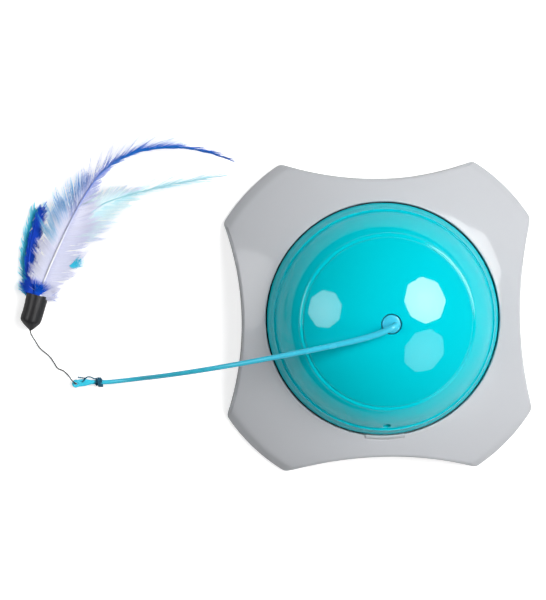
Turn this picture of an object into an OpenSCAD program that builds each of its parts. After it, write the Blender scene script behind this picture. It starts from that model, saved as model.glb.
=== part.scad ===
// Spinning feather teaser for cats, worked by a remote control.
// A four-lobed stand carries a domed drive unit. A geared motor turns a spindle in the
// middle of the dome, and the wand plugged into it sweeps a feather lure round the stand.
// Millimetres. The origin is on the floor under the spindle. +Z is up, -Y is the front.

/* [Stand] */
// Radius of the circle that the four lobes end on
stand_r = 103; // [98:1:112]
// Width of the stand between the dome's hole and the middle of a hollow side
waist_w = 12.6; // [11:0.2:16]
// Half of the angle that a lobe's end covers
lobe_half_angle = 13; // [10:0.5:15]
// Rounding of the lobes' corners, in plan
corner_round = 4.5; // [3:0.5:7]
// Wall thickness of the stand
stand_wall = 2.4; // [1.8:0.1:3]
// Height that the crowned top would reach over the spindle
crown_top = 36; // [33:0.5:40]
// Height of the crowned top where it meets the bevel of the lobes
edge_h = 7.5; // [6.5:0.1:9]
// Width of the bevel along the lobes' ends
bevel_w = 4; // [2:0.5:6]
// Height of the bevel along the lobes' ends
bevel_h = 5; // [3:0.5:5.5]
// Height at which the stand's walls end over the floor
foot_h = 1.6; // [1:0.1:3]
// Radius of a rubber foot
foot_r = 6; // [4:0.5:8]
// Distance of the feet's middles from the lobes' ends
foot_inset = 13; // [11:0.5:16]
// Depth of the pockets that the feet sit in
foot_sink = 0.8; // [0.5:0.1:1.2]

/* [Dome] */
// Radius of the dome's flange
dome_r = 64.6; // [63:0.2:66]
// Height of the top of the dome over the floor
dome_top = 64; // [60:0.5:68]
// Radius of the dome's cap, in section
cap_r = 79; // [74:1:90]
// Width of the band from the flange's edge to the groove between shoulder and cap
ridge_w = 17.9; // [16:0.1:20]
// Radius of the groove between shoulder and cap, in section
groove_r = 0.8; // [0.5:0.1:1.2]
// Radius of the shoulder, in section
shoulder_r = 40; // [36:0.5:44]
// Width of the sloping skirt round the shoulder, in plan
skirt_w = 3.4; // [2.6:0.1:4]
// Height of the skirt over the flange
skirt_h = 7.4; // [6:0.2:9]
// Wall thickness of the dome
dome_wall = 2.2; // [1.6:0.1:2.6]
// Thickness of the flange
flange_t = 2.4; // [1.8:0.1:3]
// Radius of the hole for the wand
dome_hole_r = 5.5; // [5.2:0.1:7]
// Gap between the flange and the stand
rim_gap = 0.8; // [0.5:0.1:1.2]
// Thickness of the gasket under the flange
gasket_t = 1.6; // [1:0.1:2]
// Width of the ledge that the flange rests on
ledge_w = 6.8; // [5:0.2:7]
// Thickness of the ledge
ledge_t = 2.2; // [1.6:0.1:3]
// Radius of the receiver window in the dome
window_r = 2.2; // [1.6:0.1:2.6]
// Height of the receiver window over the top of the skirt
window_rise = 4.5; // [3.5:0.1:6]

/* [Drive] */
// Gear module
gear_m = 0.6; // [0.58:0.01:0.62]
// Teeth of the three pinions
pinion_n = 10; // [10:2:12]
// Teeth of the two reduction wheels
wheel_n = 36; // [34:2:38]
// Teeth of the output wheel
output_n = 38; // [36:2:40]
// Thickness of the gear wheels
wheel_t = 3; // [2:0.1:3.2]
// Thickness of the gearbox plates
gear_plate_t = 2; // [1.6:0.1:2.4]
// Radius of the gears' steel pins
axle_r = 1; // [0.8:0.05:1.2]
// Radius of the spindle's shaft
spindle_r = 2; // [1.6:0.1:2.1]
// Radius of the cup at the spindle's top
cup_r = 4.6; // [4:0.1:4.8]
// Radius of the motor can
motor_r = 6; // [5:0.1:6.4]
// Width of the motor can across its flats
motor_flat = 10; // [8.5:0.1:10.4]
// Length of the motor can
motor_l = 13; // [11:0.5:13.5]

/* [Batteries] */
// Radius of a cell
cell_r = 7.15; // [6.8:0.05:7.25]
// Length of a cell without its nub
cell_l = 49.5; // [48:0.1:49.8]
// Thickness of the battery door
door_t = 1.6; // [1.4:0.1:1.8]
// Distance that the battery door slides
door_travel = 8; // [6:0.5:9]

/* [Button] */
// Half of the angle that the button covers
button_half_angle = 9.6; // [8:0.2:11]
// Width of the button, radially
button_w = 3.4; // [2.8:0.1:3.8]
// Travel of the button
button_travel = 1; // [0.6:0.1:1.2]

/* [Wand and lure] */
// Radius of the wand's rod
rod_r = 1.3; // [1:0.05:1.4]
// Radius of the plug's head
plug_r = 4.7; // [4:0.1:4.8]
// Radius of the plug's stem
stem_r = 2.5; // [2.2:0.1:2.8]
// Distance from the spindle to the eye at the wand's end
wand_reach = 175.5; // [165:0.5:185]
// Direction of the wand, seen from above
wand_angle = 191.3; // [185:0.1:200]
// Radius of the bend above the plug
rod_bend = 3.5; // [3:0.1:5]
// Distance of the rod's root from the spindle's axis
rod_root = 2; // [0:0.1:2.4]
// Radius of the curve that levels the rod at the floor
rod_level = 45; // [30:1:60]
// Radius of the lure's string
string_r = 0.4; // [0.3:0.05:0.4]
// Turns of string round the rod
knot_turns = 3; // [2:1:4]
// Radius of the lure's rubber cap
lure_r = 5.8; // [5.4:0.1:6.2]
// Length of the lure's rubber cap without its point
lure_l = 15.5; // [14:0.5:18]
// Length of the cap's point
lure_point = 5; // [4:0.5:6]

/* [Clearances] */
// Gap round a shaft that turns in a hole
run_gap = 0.05; // [0.03:0.01:0.08]
// Gap round a piece that is fixed in a hole
fix_gap = 0.02; // [0.01:0.01:0.04]
// Gap round a piece that slides or is set in by hand
slip_gap = 0.3; // [0.2:0.05:0.4]
// Gap at the ends of pieces that turn
end_gap = 0.4; // [0.3:0.05:0.6]

/* [Hidden] */
$fn = 96;
over = 1;
small = 0.01;

// Heights, from the floor up
plate_t = 2.8;
plate_top = foot_h + plate_t;
ledge_z = 19.6;
flange_z = ledge_z + gasket_t;
cap_z = dome_top - cap_r;
rim_r = dome_r + rim_gap;

// Crown of the stand: a sphere through its top and through the edge of the bevel
edge_r = stand_r - bevel_w;
crown_h = crown_top - edge_h;
crown_r = (edge_r * edge_r + crown_h * crown_h) / (2 * crown_h);
crown_z = crown_top - crown_r;

// Section of the dome: the shoulder's arc runs on from the cap at the groove
ridge_r = dome_r - ridge_w;
ridge_z = cap_z + sqrt(cap_r * cap_r - ridge_r * ridge_r);
shoulder_x = ridge_r * (1 - shoulder_r / cap_r);
shoulder_z = ridge_z - (ridge_z - cap_z) * shoulder_r / cap_r;
skirt_z = flange_z + flange_t + skirt_h;
skirt_r = dome_r - skirt_w;
window_z = skirt_z + window_rise;
groove_lift = 0.35;
window_face = shoulder_x + sqrt(pow(shoulder_r, 2) - pow(window_z + window_r - shoulder_z, 2));

// Outline of the stand: a disc bitten by four large circles
waist_r = rim_r + waist_w;
bite_angle = 45 - lobe_half_angle;
bite_x = (stand_r * stand_r - waist_r * waist_r) / (2 * (stand_r * cos(bite_angle) - waist_r));
bite_r = bite_x - waist_r;

// Stations of the housing's screws
post_r = 4.5;
boss_r = 4;
post_gap = 2;
boss_gap = 0.5;
dome_post = (rim_r - ledge_w - post_gap - post_r) / sqrt(2);
stand_post = (rim_r + boss_gap + boss_r) / sqrt(2);
foot_at = (stand_r - foot_inset) / sqrt(2);
post_top = 20;
screw_r = 1.5;
head_r = 2.8;
head_t = 1.5;
head_sink_z = 14;
dome_screw_l = 12;
stand_screw_l = 9;
small_screw_r = 1;
small_head_r = 1.9;
small_head_t = 1.4;
post_screw_l = 8;
board_screw_l = 4;

// Battery compartment, cells side by side along X
cell_n = 3;
cell_gap = 0.7;
cell_pitch = 2 * cell_r + cell_gap;
cell_nub_r = 2.75;
cell_nub_l = 1;
cell_bed = 2.8;
bay_wall = 2;
bay_x = (cell_l + cell_nub_l) / 2 + cell_bed;
bay_y = cell_n * cell_pitch / 2;
door_top = foot_h + door_t;
cell_z = door_top + slip_gap + cell_r;
bay_top = cell_z + cell_r + slip_gap;
bay_roof = bay_top + bay_wall;
tongue_w = 1.5;
tongue_t = 0.8;
contact_t = 0.4;
contact_w = 15.7;
contact_bump_r = 2.2;
thumb_w = 16;
thumb_rib = 1.2;
thumb_h = 0.5;
thumb_n = 4;
lead_lane = 3.5;
tag_w = 2;
tag_t = 0.5;
tag_z = 12;
tag_l = 2;

// Gear train: the pinions and wheels lie in a row along +X
tooth_add = 0.8;
tooth_ded = 1.15;
tooth_slack = 0.2;
pressure = 20;
pair_1 = gear_m * (pinion_n + wheel_n) / 2;
pair_3 = gear_m * (pinion_n + output_n) / 2;
second_x = pair_3;
first_x = second_x + pair_1;
motor_x = first_x + pair_1;
bay_gap = 2;
gear_base_z = bay_roof + bay_gap;
gear_floor = gear_base_z + gear_plate_t;
wheel_gap = 0.6;
level_step = wheel_t + wheel_gap;
level_1 = gear_floor + end_gap;
level_2 = level_1 + level_step;
level_3 = level_2 + level_step;
gear_roof = level_3 + level_step + end_gap;
gear_cover_z = gear_roof;
gear_top = gear_cover_z + gear_plate_t;
hub_r = 1.7;
pillar_r = 3;
pillar_hole_r = small_screw_r + slip_gap;
// Plates: edge behind the spindle, half width, shoulder past the first gear, nose past the motor
lower_plate = [-21, 34, 14, 9];
upper_plate = [-14, 20, 8, 4];
gear_post_x = bay_x + bay_wall + 2 * lead_lane;
gear_posts = [[-16, 30], [-16, -30], [gear_post_x, 22], [gear_post_x, -22]];
pillar_at = [[-8, 15], [-8, -15], [first_x + 2, 16], [first_x + 2, -16]];

// Motor, hung under the gearbox base with its shaft up
motor_shaft_r = 0.75;
motor_boss_r = 2;
motor_boss_h = 1.2;
motor_cap_t = 1.6;
terminal_w = 2;
terminal_t = 0.5;
terminal_l = 2.5;
terminal_x = motor_flat / 4;

// Spindle and plug
plug_h = 3.4;
plug_sink = 0.2;
plug_top = dome_top - plug_sink;
cup_top = plug_top - plug_h;
cup_depth = 9;
cup_l = 12.4;
cup_z = cup_top - cup_l;
spindle_end = 1.2;
spindle_foot = gear_base_z - spindle_end;
plug_crown = 0.5;
plug_bore = 3;
stem_l = 8.4;

// Button, its well in the stand and the switch under it
button_gap = 0.4;
button_in = dome_r + button_gap;
button_out = button_in + button_w;
button_mid = (button_in + button_out) / 2;
button_top = 24.8;
button_z = ledge_z + button_travel + slip_gap;
well_wall = 2;
well_half_angle = button_half_angle + slip_gap;
well_side_angle = 3;
well_block_angle = well_half_angle + well_side_angle;
board_z = 7.6;
board_t = 1.6;
board_top = board_z + board_t;
board_w = 38;
board_gap = 2.6;
board_out = waist_r - stand_wall - board_gap;
board_in = 49;
switch_w = 6;
switch_h = 4;
switch_top = board_top + switch_h;
plunger_r = 1.6;
plunger_in = 2.4;
plunger_out = 1.2;
plunger_z = switch_top - plunger_in;
stem_end = switch_top + plunger_out;
stem_rod_r = 2;
board_post = [15, 62];
board_post_r = 3;

// Receiver on two leads behind the window
receiver_w = 5;
receiver_d = 4;
receiver_h = 7;
receiver_lens_r = 2;
receiver_gap = 4.6;
receiver_y = window_face - dome_wall - receiver_gap;
receiver_lead = 0.5;
receiver_pitch = 2.54;

// Rod of the wand: up from the plug, over a bend, down a long curve and level at the floor
eye_z = 2.4;
eye_t = 2;
eye_r = 2.3;
eye_hole_r = 1;
eye_l = 9;
eye_neck = 3.6;
level_u = wand_reach - eye_l;
rod_sides = 12;
rod_rings = 22;
bend_rings = 8;
rod_rise = 1.5;
rod_top = plug_top + rod_rise + rod_bend;
drop = rod_top - eye_z;
bend_u = rod_bend - rod_root;
run = level_u - bend_u;
slope = 2 * atan(drop / run);
rod_arc = run / sin(slope) - rod_level;
eye = wand_reach * [cos(wand_angle), sin(wand_angle)];

// Knot round the rod, measured along it from the start of the eye
knot_start = 2;
knot_gap = 0.55;
knot_lift = 0.15;
knot_pitch = 2 * string_r + knot_gap;
knot_r = rod_r + string_r + knot_lift;
knot_rings = 24;
knot_sides = 6;
string_sides = 8;

// Route of the lure's string, from the eye's hole to the cap's point
string_lift = 0.1;
string_floor = string_r + string_lift;
string_path = [[eye.x, eye.y, 0.6], [eye.x, eye.y, 3.6], [-173.4, -33.4, 4.3], [-175, -31.6, 3.4],
    [-176.5, -30.2, 1.4], [-178, -29, string_floor], [-180, -27.5, string_floor],
    [-182, -26.5, string_floor], [-184.5, -25.5, string_floor], [-186.5, -22.5, string_floor],
    [-188, -20, string_floor], [-189.5, -18, string_floor], [-192.5, -16.5, string_floor],
    [-194.5, -14, string_floor], [-196, -10.5, 1.2], [-197.2, -7, 3.6], [-197.9, -4.6, 5.4]];

// Lure: a rubber cap lying on the floor, with the quills set in its mouth
lure_tip = [-197.6, -3.2];
lure_angle = 74.4;
lure_z = lure_r;
quill_r = 0.7;
quill_in = 7;
quill_out = 3;
feather_t = 1.2;
feather_n = 18;
// Seats of the feathers in the mouth, as across and height
white_seat = [-1.6, 2.6];
aqua_seat = [-2.4, 0.4];
royal_seat = [1.8, -0.8];
turquoise_seat = [1.2, -3.4];
// Curves of the feathers in plan, after their roots
white_curve = [[-170, 78], [-138, 122], [-80, 90]];
aqua_curve = [[-176, 58], [-140, 76], [-84, 82]];
royal_curve = [[-203, 32], [-200, 54], [-188, 70]];
turquoise_curve = [[-207, 30], [-205, 52], [-193, 68]];
// Blades of the feathers: widest half width, share of the length that is wide, height of the tip
white_blade = [14, 0.5, 6];
aqua_blade = [8, 0.8, 3.6];
royal_blade = [5, 1, 3.4];
turquoise_blade = [6, 1, 1.4];
string_near = -2;
string_end = -0.1;

// Routes of the leads, from their tags to the top of the board
lead_r = 0.5;
lead_sides = 8;
lead_gap = 0.1;
lead_apart = 0.9;
lead_straight = 1.5;
lead_high = 10;
lead_y = 54;
left_lead_x = -12;
right_lead_x = 8;
motor_lead_x = 15;
tag_end = bay_x + bay_wall + tag_l + lead_gap;
lane_x = bay_x + bay_wall + lead_lane / 2;
left_lead = [[-tag_end - lead_r, cell_pitch, 12], [-tag_end - 2, 12, 12], [-tag_end - 2, 8, 12],
    [-tag_end - 2, -16, 12], [-lane_x, -26, 12], [-26, -28.8, 12], [-23, -36, 12.5], [-19, -46, 13],
    [-15, -52, 13], [left_lead_x, -lead_y, 12.5]];
right_lead = [[tag_end + lead_r, -cell_pitch, 12], [tag_end + lead_r, -17, 12.4], [lane_x, -26, 13],
    [26, -28.8, 13], [23, -36, 13], [19, -46, 13.5], [13, -52, 13.5], [right_lead_x, -lead_y, 12.5]];
motor_lead = [[motor_x, -12.5, 8], [motor_x - 5, -16, 8], [lane_x, -20, 8], [lane_x, -26, 8], [26, -28.8, 8],
    [24, -36, 8], [21, -45, 9], [18, -51, 12], [16, -52.5, 12], [motor_lead_x, -lead_y, 11.5]];

// A point on a circle
function polar(r, a) = r * [cos(a), sin(a)];

// Points of an arc round a centre
function arc(c, r, a0, a1, n) = [for (i = [0 : n]) c + polar(r, a0 + (a1 - a0) * i / n)];

// Outline of the stand, drawn in by d all round, as four quarters of bite, corner and lobe
function stand_quarter(d) =
    let (
        rf = corner_round,
        rho = stand_r - d - rf,
        q = bite_r + d + rf,
        phi = acos((rho * rho + bite_x * bite_x - q * q) / (2 * rho * bite_x)),
        gam = asin(rho * sin(phi) / q),
        corner_a = polar(rho, phi),
        corner_b = polar(rho, 90 - phi)
    )
    concat(
        arc([bite_x, 0], bite_r + d, 180 + gam, 180 - gam, 12),
        arc(corner_a, rf, -gam, phi, 5),
        arc([0, 0], stand_r - d, phi, 90 - phi, 6),
        arc(corner_b, rf, 90 - phi, 90 + gam, 5)
    );

// The same points, without those that repeat
function thin(pts) =
    [for (i = [0 : len(pts) - 1]) if (norm(pts[i] - pts[(i + 1) % len(pts)]) > small) pts[i]];

function turned(p, a) = [p.x * cos(a) - p.y * sin(a), p.x * sin(a) + p.y * cos(a)];

function stand_outline(d) = thin([for (k = [0 : 3]) for (p = stand_quarter(d)) turned(p, 90 * k)]);

// Cubic curve with four control points
function bezier(c, t) =
    pow(1 - t, 3) * c[0] + 3 * t * pow(1 - t, 2) * c[1] + 3 * t * t * (1 - t) * c[2] + pow(t, 3) * c[3];

// Involute gear outline, with teeth thinned by the slack
function involute(a) = tan(a) * 180 / PI - a;

function tooth_half(n, m, r) =
    let (
        rp = m * n / 2,
        rb = rp * cos(pressure),
        here = r > rb ? acos(rb / r) : 0
    )
    (90 / n) - tooth_slack / (4 * rp) * 180 / PI + involute(pressure) - involute(here);

function gear_outline(n, m, phase) =
    let (
        rp = m * n / 2,
        rb = rp * cos(pressure),
        r_tip = rp + tooth_add * m,
        r_root = rp - tooth_ded * m,
        r_low = max(rb, r_root + small),
        radii = [r_root, r_low, (r_low + r_tip) / 2, r_tip]
    )
    [for (i = [0 : n - 1]) for (s = [-1, 1]) for (k = [0 : 3])
        let (r = radii[s < 0 ? k : 3 - k])
        polar(r, phase + 360 * i / n + s * tooth_half(n, m, max(r, r_low)))];

// Tube swept along points: one ring of sides at each point, square to the path
function unit(v) = v / norm(v);

function path_dir(p, i) = unit(p[min(i + 1, len(p) - 1)] - p[max(i - 1, 0)]);

function side_dir(t) = unit(abs(t.z) < 0.9 ? cross([0, 0, 1], t) : cross([1, 0, 0], t));

// Frames are carried along the path, so that the tube doesn't twist
function carried(p, i) =
    i == 0 ? side_dir(path_dir(p, 0))
    : let (t = path_dir(p, i), u = carried(p, i - 1)) unit(u - (u * t) * t);

module tube(p, r, sides) {
    n = len(p);
    rings = [for (i = [0 : n - 1])
        let (t = path_dir(p, i), u = carried(p, i), v = cross(t, u))
        for (k = [0 : sides - 1]) p[i] + r * (cos(360 * k / sides) * u + sin(360 * k / sides) * v)];
    skin = [for (i = [0 : n - 2]) for (k = [0 : sides - 1])
        let (a = i * sides + k, b = i * sides + (k + 1) % sides)
        each [[a, a + sides, b], [b, a + sides, b + sides]]];
    first_end = [for (k = [1 : sides - 2]) [0, k, k + 1]];
    last_end = [for (k = [1 : sides - 2]) [(n - 1) * sides, (n - 1) * sides + k + 1, (n - 1) * sides + k]];
    polyhedron(rings, concat(skin, first_end, last_end));
}

// A ring between two radii and heights
module ring(r0, r1, z0, z1) {
    translate([0, 0, z0])
        difference() {
            cylinder(r = r1, h = z1 - z0);
            translate([0, 0, -over])
                cylinder(r = r0, h = z1 - z0 + 2 * over);
        }
}

// A piece of a ring at the front, half an angle to either side
module front_arc(r0, r1, half, z0, z1) {
    translate([0, 0, z0])
        rotate([0, 0, 270 - half])
            rotate_extrude(angle = 2 * half)
                translate([r0, 0])
                    square([r1 - r0, z1 - z0]);
}

// Copies at the four corners of a square
module corners(d) {
    for (sx = [-1, 1])
        for (sy = [-1, 1])
            translate([sx * d, sy * d, 0])
                children();
}

// A cylinder between two heights
module disc(r, z0, z1) {
    translate([0, 0, z0])
        cylinder(r = r, h = z1 - z0);
}

// Screw that points up, with the underside of its head at the origin
module screw(r, l, rh, th) {
    translate([0, 0, -th])
        cylinder(r = rh, h = th);
    translate([0, 0, -th / 2])
        cylinder(r = r, h = l + th / 2);
}

// Cone that bevels the lobes' ends, drawn in by d
module bevel_cone(d) {
    bevel = bevel_w / bevel_h;
    cylinder(r1 = edge_r - d + bevel * edge_h, r2 = edge_r - d - bevel * crown_h, h = crown_top);
}

// Body of the stand, drawn in by d: the outline cut by the crown and the bevel
module stand_body(d) {
    intersection() {
        translate([0, 0, foot_h - (d > 0 ? over : 0)])
            linear_extrude(crown_top)
                polygon(stand_outline(d));
        translate([0, 0, crown_z])
            sphere(r = crown_r - d);
        bevel_cone(d);
    }
}

// Upper shell of the stand, with the collar, the ledge and the well for the button
module stand_shell() {
    color("gainsboro")
        difference() {
            stand_body(0);
            difference() {
                stand_body(stand_wall);
                ring(rim_r - ledge_w, rim_r + stand_wall, ledge_z - ledge_t, crown_top);
                front_arc(rim_r, button_out + slip_gap + well_wall, well_block_angle,
                    ledge_z - ledge_t, crown_top);
                corners(stand_post)
                    disc(boss_r, plate_top, crown_top);
            }
            disc(rim_r, ledge_z, crown_top + over);
            front_arc(rim_r - over, button_out + slip_gap, well_half_angle, ledge_z, crown_top);
            translate([0, -button_mid, 0])
                disc(stem_rod_r + run_gap, ledge_z - ledge_t - over, ledge_z + over);
            corners(stand_post)
                disc(screw_r + fix_gap, plate_top - over, plate_top + stand_screw_l);
        }
}

// Floor of the stand: battery bay, posts and foot pockets
module base_plate() {
    groove_z = door_top - tongue_t - slip_gap / 2;
    groove_t = tongue_t + slip_gap;
    recess_x = bay_x + door_travel + slip_gap;
    sunk = foot_h + plate_t / 2;
    color("whitesmoke")
        difference() {
            union() {
                intersection() {
                    translate([0, 0, foot_h])
                        linear_extrude(plate_t)
                            polygon(stand_outline(stand_wall + slip_gap));
                    bevel_cone(stand_wall + slip_gap);
                }
                translate([-bay_x - bay_wall, -bay_y - bay_wall, sunk])
                    cube([2 * (bay_x + bay_wall), 2 * (bay_y + bay_wall), bay_roof - sunk]);
                corners(dome_post)
                    disc(post_r, sunk, post_top);
                for (p = gear_posts)
                    translate(p)
                        disc(pillar_r, sunk, gear_base_z);
                for (s = [-1, 1])
                    translate([s * board_post.x, -board_post.y, 0])
                        disc(board_post_r, sunk, board_z);
            }
            translate([-bay_x, -bay_y, foot_h - over])
                cube([2 * bay_x, 2 * bay_y, bay_top - foot_h + over]);
            translate([-bay_x, -bay_y, foot_h - over])
                cube([bay_x + recess_x, 2 * bay_y, groove_z + groove_t - foot_h + over]);
            translate([-bay_x, -bay_y - tongue_w, groove_z])
                cube([bay_x + recess_x, 2 * (bay_y + tongue_w), groove_t]);
            for (s = [-1, 1])
                translate([s * (bay_x + bay_wall / 2), -s * cell_pitch, tag_z])
                    cube([2 * bay_wall, tag_w + slip_gap, tag_t + slip_gap], center = true);
            corners(dome_post) {
                disc(head_r + slip_gap, foot_h - over, head_sink_z);
                disc(screw_r + slip_gap, foot_h - over, post_top + over);
            }
            corners(stand_post) {
                disc(head_r + slip_gap, foot_h - over, foot_h + head_t);
                disc(screw_r + slip_gap, foot_h - over, plate_top + over);
            }
            for (p = gear_posts)
                translate(p)
                    disc(small_screw_r + fix_gap, gear_floor - post_screw_l - over, gear_base_z + over);
            for (s = [-1, 1])
                translate([s * board_post.x, -board_post.y, 0])
                    disc(small_screw_r + fix_gap, board_top - board_screw_l, board_z + over);
            corners(foot_at)
                disc(foot_r + fix_gap, foot_h - over, foot_h + foot_sink);
        }
}

// Feet, one under each lobe
module rubber_feet() {
    color("dimgray")
        corners(foot_at)
            disc(foot_r, 0, foot_h + foot_sink);
}

// Dark seal between the dome's flange and the ledge
module rim_gasket() {
    color("black")
        difference() {
            ring(rim_r - ledge_w + slip_gap, rim_r - slip_gap, ledge_z, flange_z);
            front_arc(button_in - slip_gap, rim_r + over, well_half_angle + slip_gap,
                ledge_z - over, flange_z + over);
        }
}

// Section of the dome, drawn in by d: cap, shoulder and sloping skirt
module dome_section(d) {
    floor_z = flange_z + (d > 0 ? -over : 0);
    intersection() {
        translate([dome_hole_r, floor_z])
            square([dome_r, dome_top]);
        union() {
            intersection() {
                translate([0, cap_z])
                    circle(r = cap_r - d);
                translate([0, floor_z])
                    square([ridge_r, dome_top]);
            }
            translate([shoulder_x, shoulder_z])
                circle(r = shoulder_r - d);
            polygon([[0, floor_z], [dome_r - d, floor_z], [dome_r - d, flange_z + flange_t],
                [skirt_r - d, skirt_z - d], [0, skirt_z - d]]);
        }
    }
}

// Turquoise shell over the drive, with four screw bosses inside
module dome_cover() {
    color("darkturquoise")
        difference() {
            union() {
                rotate_extrude()
                    difference() {
                        dome_section(0);
                        dome_section(dome_wall);
                        translate([ridge_r, ridge_z] + groove_lift * [ridge_r, ridge_z - cap_z] / cap_r)
                            circle(r = groove_r);
                    }
                intersection() {
                    corners(dome_post)
                        disc(boss_r, post_top, dome_top);
                    union() {
                        rotate_extrude()
                            dome_section(dome_wall / 2);
                        disc(skirt_r - dome_wall, post_top, flange_z + flange_t);
                    }
                }
            }
            corners(dome_post)
                disc(screw_r + fix_gap, post_top - over, head_sink_z + dome_screw_l + over);
            translate([0, 0, window_z])
                rotate([90, 0, 0])
                    disc(window_r, window_face - 2 * dome_wall, dome_r);
        }
}

// Dark window for the receiver, let into the dome's wall
module receiver_window() {
    color("black")
        translate([0, 0, window_z])
            rotate([90, 0, 0])
                disc(window_r - fix_gap, window_face - dome_wall, window_face);
}

// Button in the stand's collar, with the stem that works the switch
module power_button() {
    color("white") {
        front_arc(button_in, button_out, button_half_angle, button_z, button_top);
        translate([0, -button_mid, 0])
            disc(stem_rod_r, stem_end, button_z + over);
    }
}

// Plunger of the switch, under the button's stem
module switch_plunger() {
    color("dimgray")
        translate([0, -button_mid, 0])
            disc(plunger_r, plunger_z, stem_end);
}

// Body of the switch, on the board
module switch_body() {
    color("black")
        translate([0, -button_mid, 0])
            difference() {
                translate([-switch_w / 2, -switch_w / 2, board_top])
                    cube([switch_w, switch_w, switch_top - board_top]);
                disc(plunger_r + run_gap, plunger_z - button_travel - slip_gap / 2, switch_top + over);
            }
}

// Circuit board at the front, on two posts
module circuit_board() {
    color("darkgreen")
        difference() {
            translate([-board_w / 2, -board_out, board_z])
                cube([board_w, board_out - board_in, board_t]);
            for (s = [-1, 1])
                translate([s * board_post.x, -board_post.y, 0])
                    disc(small_screw_r + slip_gap, board_z - over, board_top + over);
        }
}

// Controller chip with its two rows of legs
module controller_chip() {
    chip = [5, 4, 1.5];
    leg = [0.4, 1.2, 0.6];
    leg_n = 4;
    pitch = 1.2;
    color("black")
        translate([-board_w / 4, -board_post.y + chip.y, board_top]) {
            translate([-chip.x / 2, -chip.y / 2, 0])
                cube(chip);
            for (i = [0 : leg_n - 1])
                for (s = [-1, 1])
                    translate([(i - (leg_n - 1) / 2) * pitch, s * (chip.y + leg.y) / 2, leg.z / 2])
                        cube(leg, center = true);
        }
}

// Smoothing capacitor
module capacitor() {
    can_r = 2.5;
    can_h = 6;
    color("navy")
        translate([board_w / 4, -board_post.y + can_r, 0])
            disc(can_r, board_top, board_top + can_h);
}

// Infrared receiver on its leads, behind the window
module receiver() {
    body_z = window_z - receiver_h / 2;
    color("black") {
        translate([-receiver_w / 2, -receiver_y - receiver_d / 2, body_z])
            cube([receiver_w, receiver_d, receiver_h]);
        translate([0, -receiver_y - receiver_d / 2, window_z])
            sphere(r = receiver_lens_r);
        for (i = [-1 : 1])
            translate([i * receiver_pitch / 2 - receiver_lead / 2, -receiver_y - receiver_lead / 2, board_top])
                cube([receiver_lead, receiver_lead, body_z - board_top + over]);
    }
}

// Sliding door under the battery bay, with tongues at its sides and thumb ribs
module battery_door() {
    color("whitesmoke") {
        translate([-bay_x + slip_gap, -bay_y + slip_gap, foot_h])
            cube([2 * (bay_x - slip_gap), 2 * (bay_y - slip_gap), door_t]);
        translate([-bay_x + slip_gap, -bay_y - tongue_w + slip_gap, door_top - tongue_t])
            cube([2 * (bay_x - slip_gap), 2 * (bay_y + tongue_w - slip_gap), tongue_t]);
        for (i = [0 : thumb_n - 1])
            translate([bay_x - (2 * i + 3) * thumb_rib, -thumb_w / 2, foot_h - thumb_h])
                cube([thumb_rib, thumb_w, thumb_h + over]);
    }
}

// Three cells, turned end for end
module battery_cells() {
    color("orange")
        for (i = [-1 : 1])
            translate([0, i * cell_pitch, cell_z])
                rotate([0, i == 0 ? -90 : 90, 0])
                    translate([0, 0, -(cell_l + cell_nub_l) / 2]) {
                        cylinder(r = cell_r, h = cell_l);
                        cylinder(r = cell_nub_r, h = cell_l + cell_nub_l);
                    }
}

// One contact plate over some of the cells, with a bump for each
module contact(s, cells) {
    reach = bay_x - (cell_l + cell_nub_l) / 2;
    low = min(cells) * cell_pitch - contact_w / 2;
    high = max(cells) * cell_pitch + contact_w / 2;
    inset = cell_gap;
    translate([s > 0 ? bay_x - contact_t : -bay_x, low + inset, cell_z - cell_r / 2])
        cube([contact_t, high - low - 2 * inset, cell_r]);
    for (i = cells)
        translate([s * bay_x, i * cell_pitch, cell_z])
            rotate([0, -s * 90, 0])
                cylinder(r = contact_bump_r, h = reach);
}

// Contacts at both ends of the bay, with tags through the walls
module contact_plates() {
    color("silver") {
        contact(-1, [-1, 0]);
        contact(-1, [1]);
        contact(1, [0, 1]);
        contact(1, [-1]);
        for (s = [-1, 1])
            translate([s * (bay_x + (bay_wall + tag_l - contact_t) / 2), -s * cell_pitch, tag_z])
                cube([bay_wall + tag_l + contact_t, tag_w, tag_t], center = true);
    }
}

// Motor can with two flats, hung under the gearbox base
module motor_can() {
    color("silver")
        translate([motor_x, 0, 0])
            difference() {
                union() {
                    intersection() {
                        disc(motor_r, gear_base_z - motor_l, gear_base_z);
                        translate([-motor_flat / 2, -motor_r, gear_base_z - motor_l])
                            cube([motor_flat, 2 * motor_r, motor_l]);
                    }
                    disc(motor_boss_r, gear_base_z - over, gear_base_z + motor_boss_h);
                }
                disc(motor_shaft_r + run_gap, gear_base_z - motor_l - over, gear_base_z + motor_boss_h + over);
            }
}

// End cap of the motor, with its two terminals
module motor_end_cap() {
    top = gear_base_z - motor_l;
    color("whitesmoke")
        translate([motor_x, 0, 0])
            difference() {
                union() {
                    intersection() {
                        disc(motor_r, top - motor_cap_t, top);
                        translate([-motor_flat / 2, -motor_r, top - motor_cap_t])
                            cube([motor_flat, 2 * motor_r, motor_cap_t]);
                    }
                    for (s = [-1, 1])
                        translate([s * terminal_x - terminal_w / 2, -motor_r - terminal_l, top - motor_cap_t])
                            cube([terminal_w, motor_r, terminal_t]);
                }
                disc(motor_shaft_r + run_gap, top - motor_cap_t / 2, top + over);
            }
}

// Motor shaft, with the armature inside the can taken as solid
module motor_shaft() {
    color("silver")
        translate([motor_x, 0, 0])
            disc(motor_shaft_r, gear_base_z - motor_l - motor_cap_t / 2 + end_gap / 2, level_2 - end_gap);
}

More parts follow.
